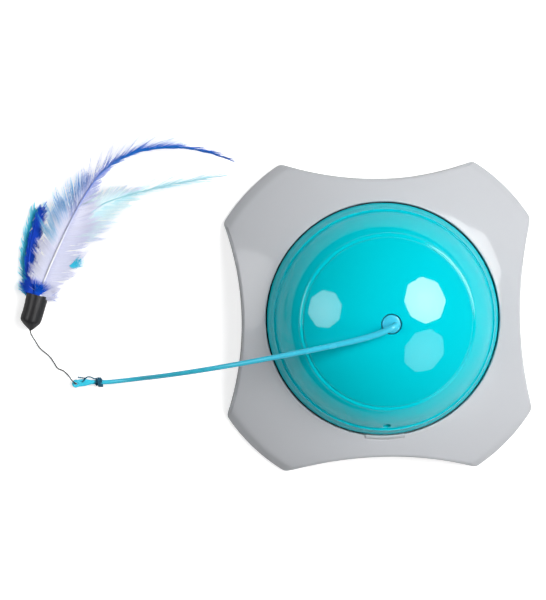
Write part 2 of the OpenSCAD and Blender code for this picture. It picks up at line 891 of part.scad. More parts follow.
// A toothed wheel of n teeth between two heights
module teeth(n, phase, z0, z1) {
    translate([0, 0, z0])
        linear_extrude(z1 - z0)
            polygon(gear_outline(n, gear_m, phase));
}

// Phase that puts a pinion's gap towards -X
pinion_phase = 180 / pinion_n;

// Pinion on the motor's shaft
module motor_pinion() {
    color("white")
        translate([motor_x, 0, 0])
            difference() {
                teeth(pinion_n, pinion_phase, level_1, level_2 - end_gap);
                disc(motor_shaft_r + fix_gap, level_1 - over, level_2);
            }
}

// A wheel and its pinion in one piece, turning on a pin between the plates
module compound_gear(wheel_z) {
    pinion_z = wheel_z + wheel_t - over / 2;
    pinion_top = wheel_z + level_step + wheel_t;
    difference() {
        union() {
            teeth(wheel_n, 0, wheel_z, wheel_z + wheel_t);
            teeth(pinion_n, pinion_phase, pinion_z, pinion_top);
            disc(hub_r, gear_floor + end_gap / 2, gear_roof - end_gap / 2);
        }
        disc(axle_r + run_gap, gear_floor, gear_roof);
    }
}

// First reduction gear, next to the motor
module first_gear() {
    color("white")
        translate([first_x, 0, 0])
            compound_gear(level_1);
}

// Second reduction gear
module second_gear() {
    color("white")
        translate([second_x, 0, 0])
            compound_gear(level_2);
}

// Output wheel on the spindle
module output_gear() {
    color("white")
        difference() {
            union() {
                teeth(output_n, 0, level_3, level_3 + wheel_t);
                disc(2 * spindle_r, level_3 + over / 2, gear_roof - end_gap / 2);
            }
            disc(spindle_r + fix_gap, level_3 - over, gear_roof);
        }
}

// Steel pins that the reduction gears turn on
module gear_pins() {
    color("silver")
        for (x = [first_x, second_x])
            translate([x, 0, 0])
                disc(axle_r, gear_base_z, gear_top);
}

// Outline of a gearbox plate, wide at the spindle and narrow at the motor
module plate_outline(plate) {
    back = plate[0];
    side = plate[1];
    shoulder = plate[2];
    nose = plate[3];
    polygon([[back, -side], [0, -side], [first_x + shoulder, -side + shoulder / 2], [motor_x + nose, -nose],
        [motor_x + nose, nose], [first_x + shoulder, side - shoulder / 2], [0, side], [back, side]]);
}

// Lower plate of the gearbox, with the clip walls that hold the motor
module gearbox_base() {
    clip_t = 1.6;
    clip_h = 8;
    clip_x = (motor_flat + clip_t + slip_gap) / 2;
    color("lightgray")
        difference() {
            union() {
                translate([0, 0, gear_base_z])
                    linear_extrude(gear_plate_t)
                        plate_outline(lower_plate);
                for (s = [-1, 1])
                    translate([motor_x + s * clip_x - clip_t / 2, -motor_r / 2, gear_base_z - clip_h])
                        cube([clip_t, motor_r, clip_h + over]);
            }
            disc(spindle_r + run_gap, gear_base_z - over, gear_floor + over);
            for (x = [first_x, second_x])
                translate([x, 0, 0])
                    disc(axle_r + fix_gap, gear_base_z - over, gear_floor + over);
            translate([motor_x, 0, 0])
                disc(motor_boss_r + fix_gap, gear_base_z - over, gear_floor + over);
            for (p = concat(gear_posts, pillar_at))
                translate(p)
                    disc(pillar_hole_r, gear_base_z - over, gear_floor + over);
        }
}

// Spacers between the gearbox plates
module gearbox_pillars() {
    color("lightgray")
        for (p = pillar_at)
            translate(p)
                ring(pillar_hole_r, pillar_r, gear_floor, gear_roof);
}

// Upper plate of the gearbox
module gearbox_cover() {
    color("lightgray")
        difference() {
            translate([0, 0, gear_cover_z])
                linear_extrude(gear_plate_t)
                    plate_outline(upper_plate);
            disc(spindle_r + run_gap, gear_cover_z - over, gear_top + over);
            for (x = [first_x, second_x])
                translate([x, 0, 0])
                    disc(axle_r + fix_gap, gear_cover_z - over, gear_top + over);
            for (p = pillar_at)
                translate(p)
                    disc(pillar_hole_r, gear_cover_z - over, gear_top + over);
        }
}

// Spindle: shaft, thrust collar and the cup that takes the wand's plug
module spindle() {
    collar_t = 1.4;
    collar_r = 3.2;
    collar_z = gear_top + end_gap / 2;
    color("lightgray")
        difference() {
            union() {
                disc(spindle_r, spindle_foot, cup_z + over);
                disc(collar_r, collar_z, collar_z + collar_t);
                disc(cup_r, cup_z, cup_top);
            }
            disc(stem_r + run_gap, cup_top - cup_depth, cup_top + over);
        }
}

// Plug at the root of the wand, set in the spindle's cup
module wand_plug() {
    color("deepskyblue")
        difference() {
            union() {
                disc(plug_r, cup_top, plug_top - plug_crown);
                translate([0, 0, plug_top - plug_crown])
                    cylinder(r1 = plug_r, r2 = plug_r - plug_crown, h = plug_crown);
                disc(stem_r, cup_top - stem_l, cup_top + over);
            }
            translate(-polar(rod_root, wand_angle))
                disc(rod_r + fix_gap, plug_top - plug_bore, plug_top + over);
        }
}

// Centre line of the rod in the wand's upright plane, as distance and height
function rod_line() =
    concat(
        [[-rod_root, plug_top - plug_bore]],
        arc([bend_u, rod_top - rod_bend], rod_bend, 180, 90, bend_rings),
        [for (i = [1 : rod_rings]) [bend_u, rod_top - rod_arc] + polar(rod_arc, 90 - slope * i / rod_rings)],
        [for (i = [1 : bend_rings])
            [level_u, eye_z + rod_level] + polar(rod_level, 270 - slope + slope * i / bend_rings)],
        [[level_u + eye_r, eye_z]]
    );

// Springy rod, with a flattened eye at its end
module wand_rod() {
    color("deepskyblue")
        rotate([0, 0, wand_angle])
            difference() {
                union() {
                    tube([for (p = rod_line()) [p.x, 0, p.y]], rod_r, rod_sides);
                    translate([level_u + eye_r / 2, -eye_neck / 2, eye_z - eye_t / 2])
                        cube([eye_l - eye_r / 2, eye_neck, eye_t]);
                    translate([wand_reach, 0, 0])
                        disc(eye_r, eye_z - eye_t / 2, eye_z + eye_t / 2);
                }
                translate([wand_reach, 0, 0])
                    disc(eye_hole_r, 0, eye_z + eye_t);
            }
}

// Point of the knot's winding, d turns along it, about the rod's last curve
function knot_point(d) =
    let (
        a = (knot_start + knot_pitch * d) / rod_level * 180 / PI,
        u = level_u - rod_level * sin(a),
        z = eye_z + rod_level * (1 - cos(a)),
        out = knot_r * cos(360 * d)
    )
    let (p = turned([u + out * sin(a), knot_r * sin(360 * d)], wand_angle))
    [p.x, p.y, z + out * cos(a)];

knot_path = [for (i = [0 : knot_turns * knot_rings]) knot_point(i / knot_rings)];
least_gap = min([for (i = [0 : len(knot_path) - 1 - knot_rings / 2])
    for (j = [i + knot_rings / 2 : len(knot_path) - 1]) norm(knot_path[i] - knot_path[j])]) - 2 * string_r;
echo(knot_least_gap = least_gap);

// String wound round the rod as a knot
module wand_knot() {
    color("darkslateblue")
        tube(knot_path, string_r, knot_sides);
}

// A point on the lure's axis, a distance from the cap's tip
function on_lure(d) = lure_tip + polar(d, lure_angle);

// String between the wand's eye and the lure
module lure_string() {
    near = on_lure(string_near);
    tip = on_lure(string_end);
    color("dimgray")
        tube(concat(string_path, [[near.x, near.y, lure_z], [tip.x, tip.y, lure_z]]), string_r, string_sides);
}

// Places the lure's own axis, with its tip at the origin and its mouth along +X
module on_cap() {
    translate([lure_tip.x, lure_tip.y, lure_z])
        rotate([0, 0, lure_angle])
            children();
}

lure_mouth = lure_point + lure_l;
feather_seats = [white_seat, aqua_seat, royal_seat, turquoise_seat];

// Quill of a feather in its hole
module quill(seat, r, l) {
    translate([lure_mouth - quill_in, seat.x, seat.y])
        rotate([0, 90, 0])
            cylinder(r = r, h = l, $fn = 24);
}

// Rubber cap that holds the quills
module lure_cap() {
    tip_r = 0.9;
    waist = 0.5;
    color("black")
        on_cap()
            difference() {
                rotate([0, 90, 0])
                    rotate_extrude()
                        polygon([[0, 0], [tip_r, 0], [lure_r - waist, lure_point],
                            [lure_r, lure_mouth], [0, lure_mouth]]);
                for (s = feather_seats)
                    quill(s, quill_r + fix_gap, quill_in + over);
            }
}

// Vane of a feather: a thin lens-shaped blade along a curve in plan
module vane(seat, curve, blade) {
    wide = blade[0];
    reach = blade[1];
    tip_z = blade[2];
    side = polar(1, lure_angle + 90);
    root = on_lure(lure_mouth + quill_out / 2) + seat.x * side;
    c = concat([root], curve);
    stations = [for (i = [0 : feather_n])
        let (
            t = i / feather_n,
            p = bezier(c, t),
            ahead = bezier(c, min(t + small, 1)) - bezier(c, max(t - small, 0)),
            n = unit([-ahead.y, ahead.x]),
            z = lure_z + seat.y + (tip_z - lure_z - seat.y) * t,
            w = quill_r * (2 - t) + wide * (t < reach ? sin(180 * t / reach) : 0),
            h = feather_t / 2 * (1 - t / 2)
        )
        each [[p.x + w * n.x, p.y + w * n.y, z], [p.x, p.y, z + h],
            [p.x - w * n.x, p.y - w * n.y, z], [p.x, p.y, z - h]]];
    skin = [for (i = [0 : feather_n - 1]) for (k = [0 : 3])
        let (a = 4 * i + k, b = 4 * i + (k + 1) % 4)
        each [[a, a + 4, b], [b, a + 4, b + 4]]];
    e = 4 * feather_n;
    polyhedron(stations, concat(skin, [[0, 1, 2], [0, 2, 3], [e, e + 2, e + 1], [e, e + 3, e + 2]]));
}

// A feather: its quill in the cap and its vane outside
module feather(seat, curve, blade) {
    on_cap()
        quill(seat, quill_r, quill_in + quill_out);
    vane(seat, curve, blade);
}

module white_feather() {
    color("lavender")
        feather(white_seat, white_curve, white_blade);
}

module aqua_feather() {
    color("paleturquoise")
        feather(aqua_seat, aqua_curve, aqua_blade);
}

module royal_feather() {
    color("royalblue")
        feather(royal_seat, royal_curve, royal_blade);
}

module turquoise_feather() {
    color("turquoise")
        feather(turquoise_seat, turquoise_curve, turquoise_blade);
}

module dome_screws() {
    color("silver")
        corners(dome_post)
            translate([0, 0, head_sink_z])
                screw(screw_r, dome_screw_l, head_r, head_t);
}

module stand_screws() {
    color("silver")
        corners(stand_post)
            translate([0, 0, foot_h + head_t])
                screw(screw_r, stand_screw_l, head_r, head_t);
}

// Screws through the gearbox base into the posts, and down the pillars
module gearbox_screws() {
    color("silver") {
        for (p = gear_posts)
            translate([p.x, p.y, gear_floor])
                rotate([180, 0, 0])
                    screw(small_screw_r, post_screw_l, small_head_r, small_head_t);
        for (p = pillar_at)
            translate([p.x, p.y, gear_top])
                rotate([180, 0, 0])
                    screw(small_screw_r, gear_top - gear_base_z, small_head_r, small_head_t);
    }
}

module board_screws() {
    color("silver")
        for (s = [-1, 1])
            translate([s * board_post.x, -board_post.y, board_top])
                rotate([180, 0, 0])
                    screw(small_screw_r, board_screw_l, small_head_r, small_head_t);
}

// Two leads from the contacts' tags, one round each side of the bay
module battery_leads() {
    left_end = [left_lead_x, -lead_y, board_top];
    right_end = [right_lead_x, -lead_y, board_top];
    color("firebrick") {
        tube(concat([[-tag_end, cell_pitch, tag_z]], left_lead, [left_end]), lead_r, lead_sides);
        tube(concat([[tag_end, -cell_pitch, tag_z]], right_lead, [right_end]), lead_r, lead_sides);
    }
}

// Two leads from the motor's terminals, side by side
module motor_leads() {
    start_y = -motor_r - terminal_l - lead_gap;
    start_z = gear_base_z - motor_l - motor_cap_t + terminal_t / 2;
    color("black")
        for (s = [-1, 1])
            tube(concat(
                [for (d = [0, lead_straight]) [motor_x + s * terminal_x, start_y - d, start_z]],
                [for (p = motor_lead) p + s * [lead_apart, 0, p.z < lead_high ? lead_apart / 2 : 0]],
                [[motor_lead_x + s * lead_apart, -lead_y, board_top]]), lead_r, lead_sides);
}

stand_shell();
base_plate();
rubber_feet();
rim_gasket();
dome_cover();
receiver_window();
power_button();
switch_plunger();
switch_body();
circuit_board();
controller_chip();
capacitor();
receiver();
battery_door();
battery_cells();
contact_plates();
motor_can();
motor_end_cap();
motor_shaft();
motor_pinion();
first_gear();
second_gear();
output_gear();
gear_pins();
gearbox_base();
gearbox_cover();
gearbox_pillars();
spindle();
wand_plug();
wand_rod();
wand_knot();
lure_string();
lure_cap();
white_feather();
aqua_feather();
royal_feather();
turquoise_feather();
dome_screws();
stand_screws();
gearbox_screws();
board_screws();
battery_leads();
motor_leads();
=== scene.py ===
"""Dressed scene of a spinning feather teaser for cats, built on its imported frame."""
import logging
import math
import random
from collections.abc import Callable
from dataclasses import dataclass, field
from enum import Enum

import bmesh
import bpy
from mathutils import Matrix, Vector

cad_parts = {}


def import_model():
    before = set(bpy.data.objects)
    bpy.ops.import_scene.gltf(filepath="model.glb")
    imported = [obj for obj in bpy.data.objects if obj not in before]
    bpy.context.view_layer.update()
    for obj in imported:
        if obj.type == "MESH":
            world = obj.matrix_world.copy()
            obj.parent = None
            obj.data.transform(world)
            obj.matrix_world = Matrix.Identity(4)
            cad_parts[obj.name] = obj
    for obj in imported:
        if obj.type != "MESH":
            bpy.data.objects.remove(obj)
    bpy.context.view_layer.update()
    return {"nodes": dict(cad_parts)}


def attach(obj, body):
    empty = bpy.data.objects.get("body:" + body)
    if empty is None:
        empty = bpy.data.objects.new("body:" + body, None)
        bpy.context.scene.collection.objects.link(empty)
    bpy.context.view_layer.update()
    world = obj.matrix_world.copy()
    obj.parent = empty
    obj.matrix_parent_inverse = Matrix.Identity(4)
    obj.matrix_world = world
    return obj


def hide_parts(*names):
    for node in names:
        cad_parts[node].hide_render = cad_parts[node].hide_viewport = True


MM = 0.001
BOSS_TURNS = 24
LOG = logging.getLogger("feather_teaser")

Colour = tuple[float, float, float]
Flat = tuple[float, float]
Point = tuple[float, float, float]
Ring = list[Point]
Face = tuple[int, ...]
Band = list[Ring]


class Side(Enum):
    """Side of a feather's shaft that a row of barbs grows on."""

    OUTER = 1
    INNER = -1


class Body(Enum):
    """Moving bodies of the frame that new pieces ride on."""

    HOUSING = "housing"
    BUTTON = "power_button"
    WAND = "wand"
    LURE = "lure"


class Wiring:
    """Adds and joins the nodes of one tree."""

    def __init__(self, tree: bpy.types.NodeTree) -> None:
        """Keeps the tree that is being wired."""
        self.tree = tree

    def add(self, kind: str, **settings: object) -> bpy.types.Node:
        """Adds a node.

        Args:
            kind: The node's type name.
            **settings: Properties to set on it.

        Returns:
            The new node.
        """
        node = self.tree.nodes.new(kind)
        for key, value in settings.items():
            setattr(node, key, value)
        return node

    def feed(self, socket: bpy.types.NodeSocket, value: object) -> None:
        """Links a socket to another one, or sets its own value."""
        if isinstance(value, bpy.types.NodeSocket):
            self.tree.links.new(value, socket)
        else:
            socket.default_value = value

    def sum(self, operation: str, *values: object) -> bpy.types.NodeSocket:
        """Adds a Math node.

        Args:
            operation: The node's operation.
            *values: Sockets or numbers for its inputs.

        Returns:
            The result's socket.
        """
        node = self.add("ShaderNodeMath", operation=operation)
        for socket, value in zip(node.inputs, values):
            self.feed(socket, value)
        return node.outputs[0]

    def vector(self, operation: str, *values: object) -> bpy.types.Node:
        """Adds a Vector Math node.

        Args:
            operation: The node's operation.
            *values: Sockets or vectors for its inputs; a scale goes last.

        Returns:
            The node.
        """
        node = self.add("ShaderNodeVectorMath", operation=operation)
        sockets = [s for s in node.inputs if s.enabled]
        for socket, value in zip(sockets, values):
            self.feed(socket, value)
        return node

    def span(self, value: object, low: float, high: float, to_low: float,
             to_high: float) -> bpy.types.NodeSocket:
        """Maps a value smoothly from one range to another.

        Args:
            value: Socket that is mapped.
            low: Start of its range.
            high: End of its range.
            to_low: Result at the start.
            to_high: Result at the end.

        Returns:
            The result's socket.
        """
        node = self.add("ShaderNodeMapRange", interpolation_type="SMOOTHSTEP")
        for name, number in (("From Min", low), ("From Max", high), ("To Min", to_low), ("To Max", to_high)):
            node.inputs[name].default_value = number
        self.feed(node.inputs["Value"], value)
        return node.outputs["Result"]

    def blend(self, share: object, first: object, second: object) -> bpy.types.NodeSocket:
        """Mixes two colours.

        Args:
            share: Share of the second colour.
            first: Socket or colour.
            second: Socket or colour.

        Returns:
            The mixed colour's socket.
        """
        node = self.add("ShaderNodeMix", data_type="RGBA")
        sockets = [s for s in node.inputs if s.enabled]
        for socket, value in zip(sockets, (share, first, second)):
            self.feed(socket, value)
        return next(s for s in node.outputs if s.enabled)

    def noise(self, vector: object, scale: object, detail: float = 2.0) -> bpy.types.NodeSocket:
        """Adds a noise texture.

        Args:
            vector: Coordinates.
            scale: Scale, as a number or a socket.
            detail: Octaves of detail.

        Returns:
            The socket of its value.
        """
        node = self.add("ShaderNodeTexNoise")
        self.feed(node.inputs["Vector"], vector)
        self.feed(node.inputs["Scale"], scale)
        node.inputs["Detail"].default_value = detail
        return node.outputs[0]


def opaque(colour: Colour, by: float = 1.0) -> tuple[float, float, float, float]:
    """Gives a colour with alpha, made lighter or darker by a factor."""
    return (min(colour[0] * by, 1.0), min(colour[1] * by, 1.0), min(colour[2] * by, 1.0), 1.0)


def new_group(kind: str, name: str, inputs: dict[str, str],
              outputs: dict[str, str]) -> tuple[Wiring, dict, dict]:
    """Starts a node group.

    Args:
        kind: Type of the tree.
        name: Its name.
        inputs: Socket types by input name.
        outputs: Socket types by output name.

    Returns:
        The wiring, the inputs' sockets and the outputs' sockets by name.
    """
    tree = bpy.data.node_groups.new(name, kind)
    for label, socket in inputs.items():
        tree.interface.new_socket(label, in_out="INPUT", socket_type=socket)
    for label, socket in outputs.items():
        tree.interface.new_socket(label, in_out="OUTPUT", socket_type=socket)
    wiring = Wiring(tree)
    entry = wiring.add("NodeGroupInput")
    leave = wiring.add("NodeGroupOutput")
    return wiring, {k: entry.outputs[k] for k in inputs}, {k: leave.inputs[k] for k in outputs}


class SurfaceGroups:
    """Shader groups that several finishes share."""

    SLOW_SHARE = 0.05
    SLOW_RANGE = (0.3, 0.7)
    SMEAR_RANGE = (0.45, 0.75)
    SCRATCH_TURN = (0.4, 0.3, 0.7)
    SCRATCH_STRETCH = (1.0, 40.0, 40.0)
    SCRATCH_RANGE = (0.68, 0.74)
    DYE_CLOUD = 420.0
    DYE_RANGE = (0.3, 0.8)
    BARB_FIBRE = 3000.0
    UNDYED = (0.9, 0.93, 1.0, 1.0)

    def __init__(self) -> None:
        """Builds each group once."""
        self.grain = self.mould_grain()
        self.marks = self.handling_marks()
        self.barb = self.barb_tone()

    @classmethod
    def mould_grain(cls) -> bpy.types.NodeTree:
        """Builds the fine relief and slow drift of tone that a moulded piece has.

        Returns:
            The group, with Height and Tone.
        """
        wiring, given, out = new_group(
            "ShaderNodeTree", "MouldGrain", {"Vector": "NodeSocketVector", "Scale": "NodeSocketFloat"},
            {"Height": "NodeSocketFloat", "Tone": "NodeSocketFloat"})
        fine = wiring.noise(given["Vector"], given["Scale"], 3.0)
        slow = wiring.noise(given["Vector"], wiring.sum("MULTIPLY", given["Scale"], cls.SLOW_SHARE), 2.0)
        wiring.feed(out["Height"], fine)
        wiring.feed(out["Tone"], wiring.span(slow, *cls.SLOW_RANGE, 0.0, 1.0))
        return wiring.tree

    @classmethod
    def handling_marks(cls) -> bpy.types.NodeTree:
        """Builds the faint smears and hairline scratches of a handled surface.

        Returns:
            The group, with Smear and Scratch.
        """
        wiring, given, out = new_group(
            "ShaderNodeTree", "HandlingMarks", {"Vector": "NodeSocketVector", "Scale": "NodeSocketFloat"},
            {"Smear": "NodeSocketFloat", "Scratch": "NodeSocketFloat"})
        cloud = wiring.noise(given["Vector"], given["Scale"], 4.0)
        wiring.feed(out["Smear"], wiring.span(cloud, *cls.SMEAR_RANGE, 0.0, 1.0))
        turned = wiring.add("ShaderNodeMapping")
        turned.inputs["Rotation"].default_value = cls.SCRATCH_TURN
        turned.inputs["Scale"].default_value = cls.SCRATCH_STRETCH
        wiring.feed(turned.inputs["Vector"], given["Vector"])
        hair = wiring.noise(turned.outputs["Vector"], given["Scale"], 1.0)
        wiring.feed(out["Scratch"], wiring.span(hair, *cls.SCRATCH_RANGE, 0.0, 1.0))
        return wiring.tree

    @classmethod
    def barb_tone(cls) -> bpy.types.NodeTree:
        """Builds the uneven dye of barbs from their own colour and chance.

        Returns:
            The group, with Colour and Height.
        """
        wiring, given, out = new_group(
            "ShaderNodeTree", "BarbTone",
            {"Vector": "NodeSocketVector", "Dye": "NodeSocketColor", "Chance": "NodeSocketFloat",
             "Fade": "NodeSocketFloat"},
            {"Colour": "NodeSocketColor", "Height": "NodeSocketFloat"})
        cloud = wiring.noise(given["Vector"], cls.DYE_CLOUD, 3.0)
        uneven = wiring.sum("MULTIPLY", wiring.sum("ADD", cloud, given["Chance"]), 0.5)
        share = wiring.sum("MULTIPLY", wiring.span(uneven, *cls.DYE_RANGE, 0.0, 1.0), given["Fade"])
        wiring.feed(out["Colour"], wiring.blend(share, given["Dye"], cls.UNDYED))
        wiring.feed(out["Height"], wiring.noise(given["Vector"], cls.BARB_FIBRE, 2.0))
        return wiring.tree


class FinishBook:
    """Makes each finish's material once."""

    def __init__(self, groups: SurfaceGroups) -> None:
        """Keeps the shared groups and the materials made so far."""
        self.groups = groups
        self.made: dict[str, bpy.types.Material] = {}

    def get(self, finish: "Finish") -> bpy.types.Material:
        """Gives a finish's material, making it at first use."""
        if finish.name not in self.made:
            self.made[finish.name] = finish.material(self.groups)
        return self.made[finish.name]


@dataclass(frozen=True)
class Finish:
    """What all finishes share: a name and a start of their material."""

    name: str
    colour: Colour

    def start(self) -> tuple[bpy.types.Material, Wiring, bpy.types.Node, bpy.types.NodeSocket]:
        """Starts a material.

        Returns:
            The material, its wiring, its Principled shader and Object coordinates.
        """
        made = bpy.data.materials.new(self.name)
        made.use_nodes = True
        made.diffuse_color = opaque(self.colour)
        wiring = Wiring(made.node_tree)
        shader = made.node_tree.nodes["Principled BSDF"]
        where = wiring.add("ShaderNodeTexCoord").outputs["Object"]
        return made, wiring, shader, where

    @staticmethod
    def place(wiring: Wiring, group: bpy.types.NodeTree, **values: object) -> bpy.types.Node:
        """Puts a shared group into a material.

        Args:
            wiring: The material's wiring.
            group: The group.
            **values: Its inputs by name.

        Returns:
            The group's node.
        """
        node = wiring.add("ShaderNodeGroup", node_tree=group)
        for label, value in values.items():
            wiring.feed(node.inputs[label], value)
        return node

    @staticmethod
    def relief(wiring: Wiring, shader: bpy.types.Node, height: bpy.types.NodeSocket, strength: float,
               distance: float) -> None:
        """Feeds a relief to the shader's Normal."""
        bump = wiring.add("ShaderNodeBump")
        bump.inputs["Strength"].default_value = strength
        bump.inputs["Distance"].default_value = distance
        wiring.feed(bump.inputs["Height"], height)
        wiring.feed(shader.inputs["Normal"], bump.outputs["Normal"])

    def material(self, groups: SurfaceGroups) -> bpy.types.Material:
        """Builds the material; each kind of finish does this in its own way."""
        raise NotImplementedError


@dataclass(frozen=True)
class Moulding(Finish):
    """Moulded plastic or rubber, with grain, drift of tone and marks of handling."""

    roughness: float = 0.3
    drift: float = 0.04
    grain: float = 300.0
    depth: float = 0.03
    marks: float = 0.06
    coat: float = 0.0
    specular: float = 0.5
    mark_scale: float = 22.0
    coat_roughness: float = 0.04
    relief_step: float = 0.0004

    def material(self, groups: SurfaceGroups) -> bpy.types.Material:
        """Builds the material of a moulded piece."""
        made, wiring, shader, where = self.start()
        grain = self.place(wiring, groups.grain, Vector=where, Scale=self.grain)
        marks = self.place(wiring, groups.marks, Vector=where, Scale=self.mark_scale)
        tone = wiring.blend(grain.outputs["Tone"], opaque(self.colour, 1 - self.drift),
                            opaque(self.colour, 1 + self.drift))
        wiring.feed(shader.inputs["Base Color"], tone)
        worn = wiring.sum("MAXIMUM", marks.outputs["Smear"], marks.outputs["Scratch"])
        rough = wiring.sum("MULTIPLY_ADD", worn, self.marks, self.roughness)
        wiring.feed(shader.inputs["Roughness"], rough)
        shader.inputs["Specular IOR Level"].default_value = self.specular
        shader.inputs["Coat Weight"].default_value = self.coat
        shader.inputs["Coat Roughness"].default_value = self.coat_roughness
        self.relief(wiring, shader, grain.outputs["Height"], self.depth, self.relief_step)
        return made


@dataclass(frozen=True)
class BareMetal(Finish):
    """Bare or plated metal with a brushed grain."""

    roughness: float = 0.35
    stretch: Point = (1.0, 1.0, 14.0)
    shades: Flat = (0.9, 1.05)
    grain: float = 1400.0
    depth: float = 0.08
    mark_scale: float = 90.0
    marks: float = 0.15
    relief_step: float = 0.0002

    def material(self, groups: SurfaceGroups) -> bpy.types.Material:
        """Builds the material of a metal piece."""
        made, wiring, shader, where = self.start()
        brushed = wiring.add("ShaderNodeMapping")
        brushed.inputs["Scale"].default_value = self.stretch
        wiring.feed(brushed.inputs["Vector"], where)
        grain = self.place(wiring, groups.grain, Vector=brushed.outputs["Vector"], Scale=self.grain)
        marks = self.place(wiring, groups.marks, Vector=where, Scale=self.mark_scale)
        wiring.feed(shader.inputs["Base Color"], wiring.blend(
            grain.outputs["Tone"], *(opaque(self.colour, shade) for shade in self.shades)))
        wiring.feed(shader.inputs["Roughness"], wiring.sum(
            "MULTIPLY_ADD", marks.outputs["Smear"], self.marks, self.roughness))
        shader.inputs["Metallic"].default_value = 1.0
        self.relief(wiring, shader, grain.outputs["Height"], self.depth, self.relief_step)
        return made


@dataclass(frozen=True)
class BoardLacquer(Finish):
    """Lacquered circuit board with copper runs under the lacquer."""

    copper: Colour = (0.10, 0.30, 0.10)
    shades: Flat = (0.9, 1.15)
    run_scale: float = 240.0
    run_width: float = 0.03
    roughness: float = 0.3
    depth: float = 0.15
    mark_scale: float = 80.0
    marks: float = 0.1
    relief_step: float = 0.0001

    def material(self, groups: SurfaceGroups) -> bpy.types.Material:
        """Builds the material of the board."""
        made, wiring, shader, where = self.start()
        runs = wiring.add("ShaderNodeTexBrick")
        runs.inputs["Scale"].default_value = self.run_scale
        runs.inputs["Mortar Size"].default_value = self.run_width
        runs.inputs["Color1"].default_value = opaque(self.colour, self.shades[0])
        runs.inputs["Color2"].default_value = opaque(self.colour, self.shades[1])
        runs.inputs["Mortar"].default_value = opaque(self.copper)
        wiring.feed(runs.inputs["Vector"], where)
        wiring.feed(shader.inputs["Base Color"], runs.outputs["Color"])
        marks = self.place(wiring, groups.marks, Vector=where, Scale=self.mark_scale)
        wiring.feed(shader.inputs["Roughness"], wiring.sum(
            "MULTIPLY_ADD", marks.outputs["Smear"], self.marks, self.roughness))
        self.relief(wiring, shader, runs.outputs["Fac"], self.depth, self.relief_step)
        return made


@dataclass(frozen=True)
class CellSleeve(Finish):
    """Plain two-tone sleeve of a battery cell, with bright ends."""

    band: Colour = (0.05, 0.05, 0.055)
    bright: Colour = (0.7, 0.7, 0.68)
    band_edge: Flat = (0.0100, 0.0102)
    end_edge: Flat = (0.0236, 0.0238)
    metal: Flat = (0.25, 1.0)
    roughness: float = 0.28
    mark_scale: float = 60.0
    marks: float = 0.2

    def material(self, groups: SurfaceGroups) -> bpy.types.Material:
        """Builds the material of the cells."""
        made, wiring, shader, where = self.start()
        axis = wiring.add("ShaderNodeSeparateXYZ")
        wiring.feed(axis.inputs[0], where)
        along = wiring.sum("ABSOLUTE", axis.outputs["X"])
        sleeve = wiring.blend(wiring.span(along, *self.band_edge, 0.0, 1.0), opaque(self.band),
                              opaque(self.colour))
        ends = wiring.span(along, *self.end_edge, 0.0, 1.0)
        wiring.feed(shader.inputs["Base Color"], wiring.blend(ends, sleeve, opaque(self.bright)))
        wiring.feed(shader.inputs["Metallic"], wiring.span(along, *self.end_edge, *self.metal))
        marks = self.place(wiring, groups.marks, Vector=where, Scale=self.mark_scale)
        wiring.feed(shader.inputs["Roughness"], wiring.sum(
            "MULTIPLY_ADD", marks.outputs["Scratch"], self.marks, self.roughness))
        return made


@dataclass(frozen=True)
class BarbDye(Finish):
    """Dyed feather, whose barbs carry their colour as an attribute."""

    fade: float = 0.2
    sheen: float = 0.25
    sheen_roughness: float = 0.5
    roughness: Flat = (0.5, 0.7)
    specular: float = 0.25
    depth: float = 0.2
    relief_step: float = 0.0001

    def material(self, groups: SurfaceGroups) -> bpy.types.Material:
        """Builds the material of a feather."""
        made, wiring, shader, where = self.start()
        dye = wiring.add("ShaderNodeAttribute", attribute_name="dye")
        chance = wiring.add("ShaderNodeAttribute", attribute_name="chance")
        tone = self.place(wiring, groups.barb, Vector=where, Dye=dye.outputs["Color"],
                          Chance=chance.outputs["Fac"], Fade=self.fade)
        wiring.feed(shader.inputs["Base Color"], tone.outputs["Colour"])
        wiring.feed(shader.inputs["Roughness"], wiring.span(chance.outputs["Fac"], 0.0, 1.0, *self.roughness))
        shader.inputs["Specular IOR Level"].default_value = self.specular
        shader.inputs["Sheen Weight"].default_value = self.sheen
        shader.inputs["Sheen Roughness"].default_value = self.sheen_roughness
        self.relief(wiring, shader, tone.outputs["Height"], self.depth, self.relief_step)
        return made


@dataclass(frozen=True)
class Thread(Finish):
    """Twisted thread with fine fibres."""

    fibre: float = 5200.0
    shades: Flat = (0.6, 1.5)
    roughness: Flat = (0.65, 0.85)
    sheen: float = 0.06
    depth: float = 0.5
    relief_step: float = 0.0001

    def material(self, groups: SurfaceGroups) -> bpy.types.Material:
        """Builds the material of a thread."""
        made, wiring, shader, where = self.start()
        grain = self.place(wiring, groups.grain, Vector=where, Scale=self.fibre)
        wiring.feed(shader.inputs["Base Color"], wiring.blend(
            grain.outputs["Height"], *(opaque(self.colour, shade) for shade in self.shades)))
        wiring.feed(shader.inputs["Roughness"], wiring.span(grain.outputs["Tone"], 0.0, 1.0, *self.roughness))
        shader.inputs["Sheen Weight"].default_value = self.sheen
        self.relief(wiring, shader, grain.outputs["Height"], self.depth, self.relief_step)
        return made


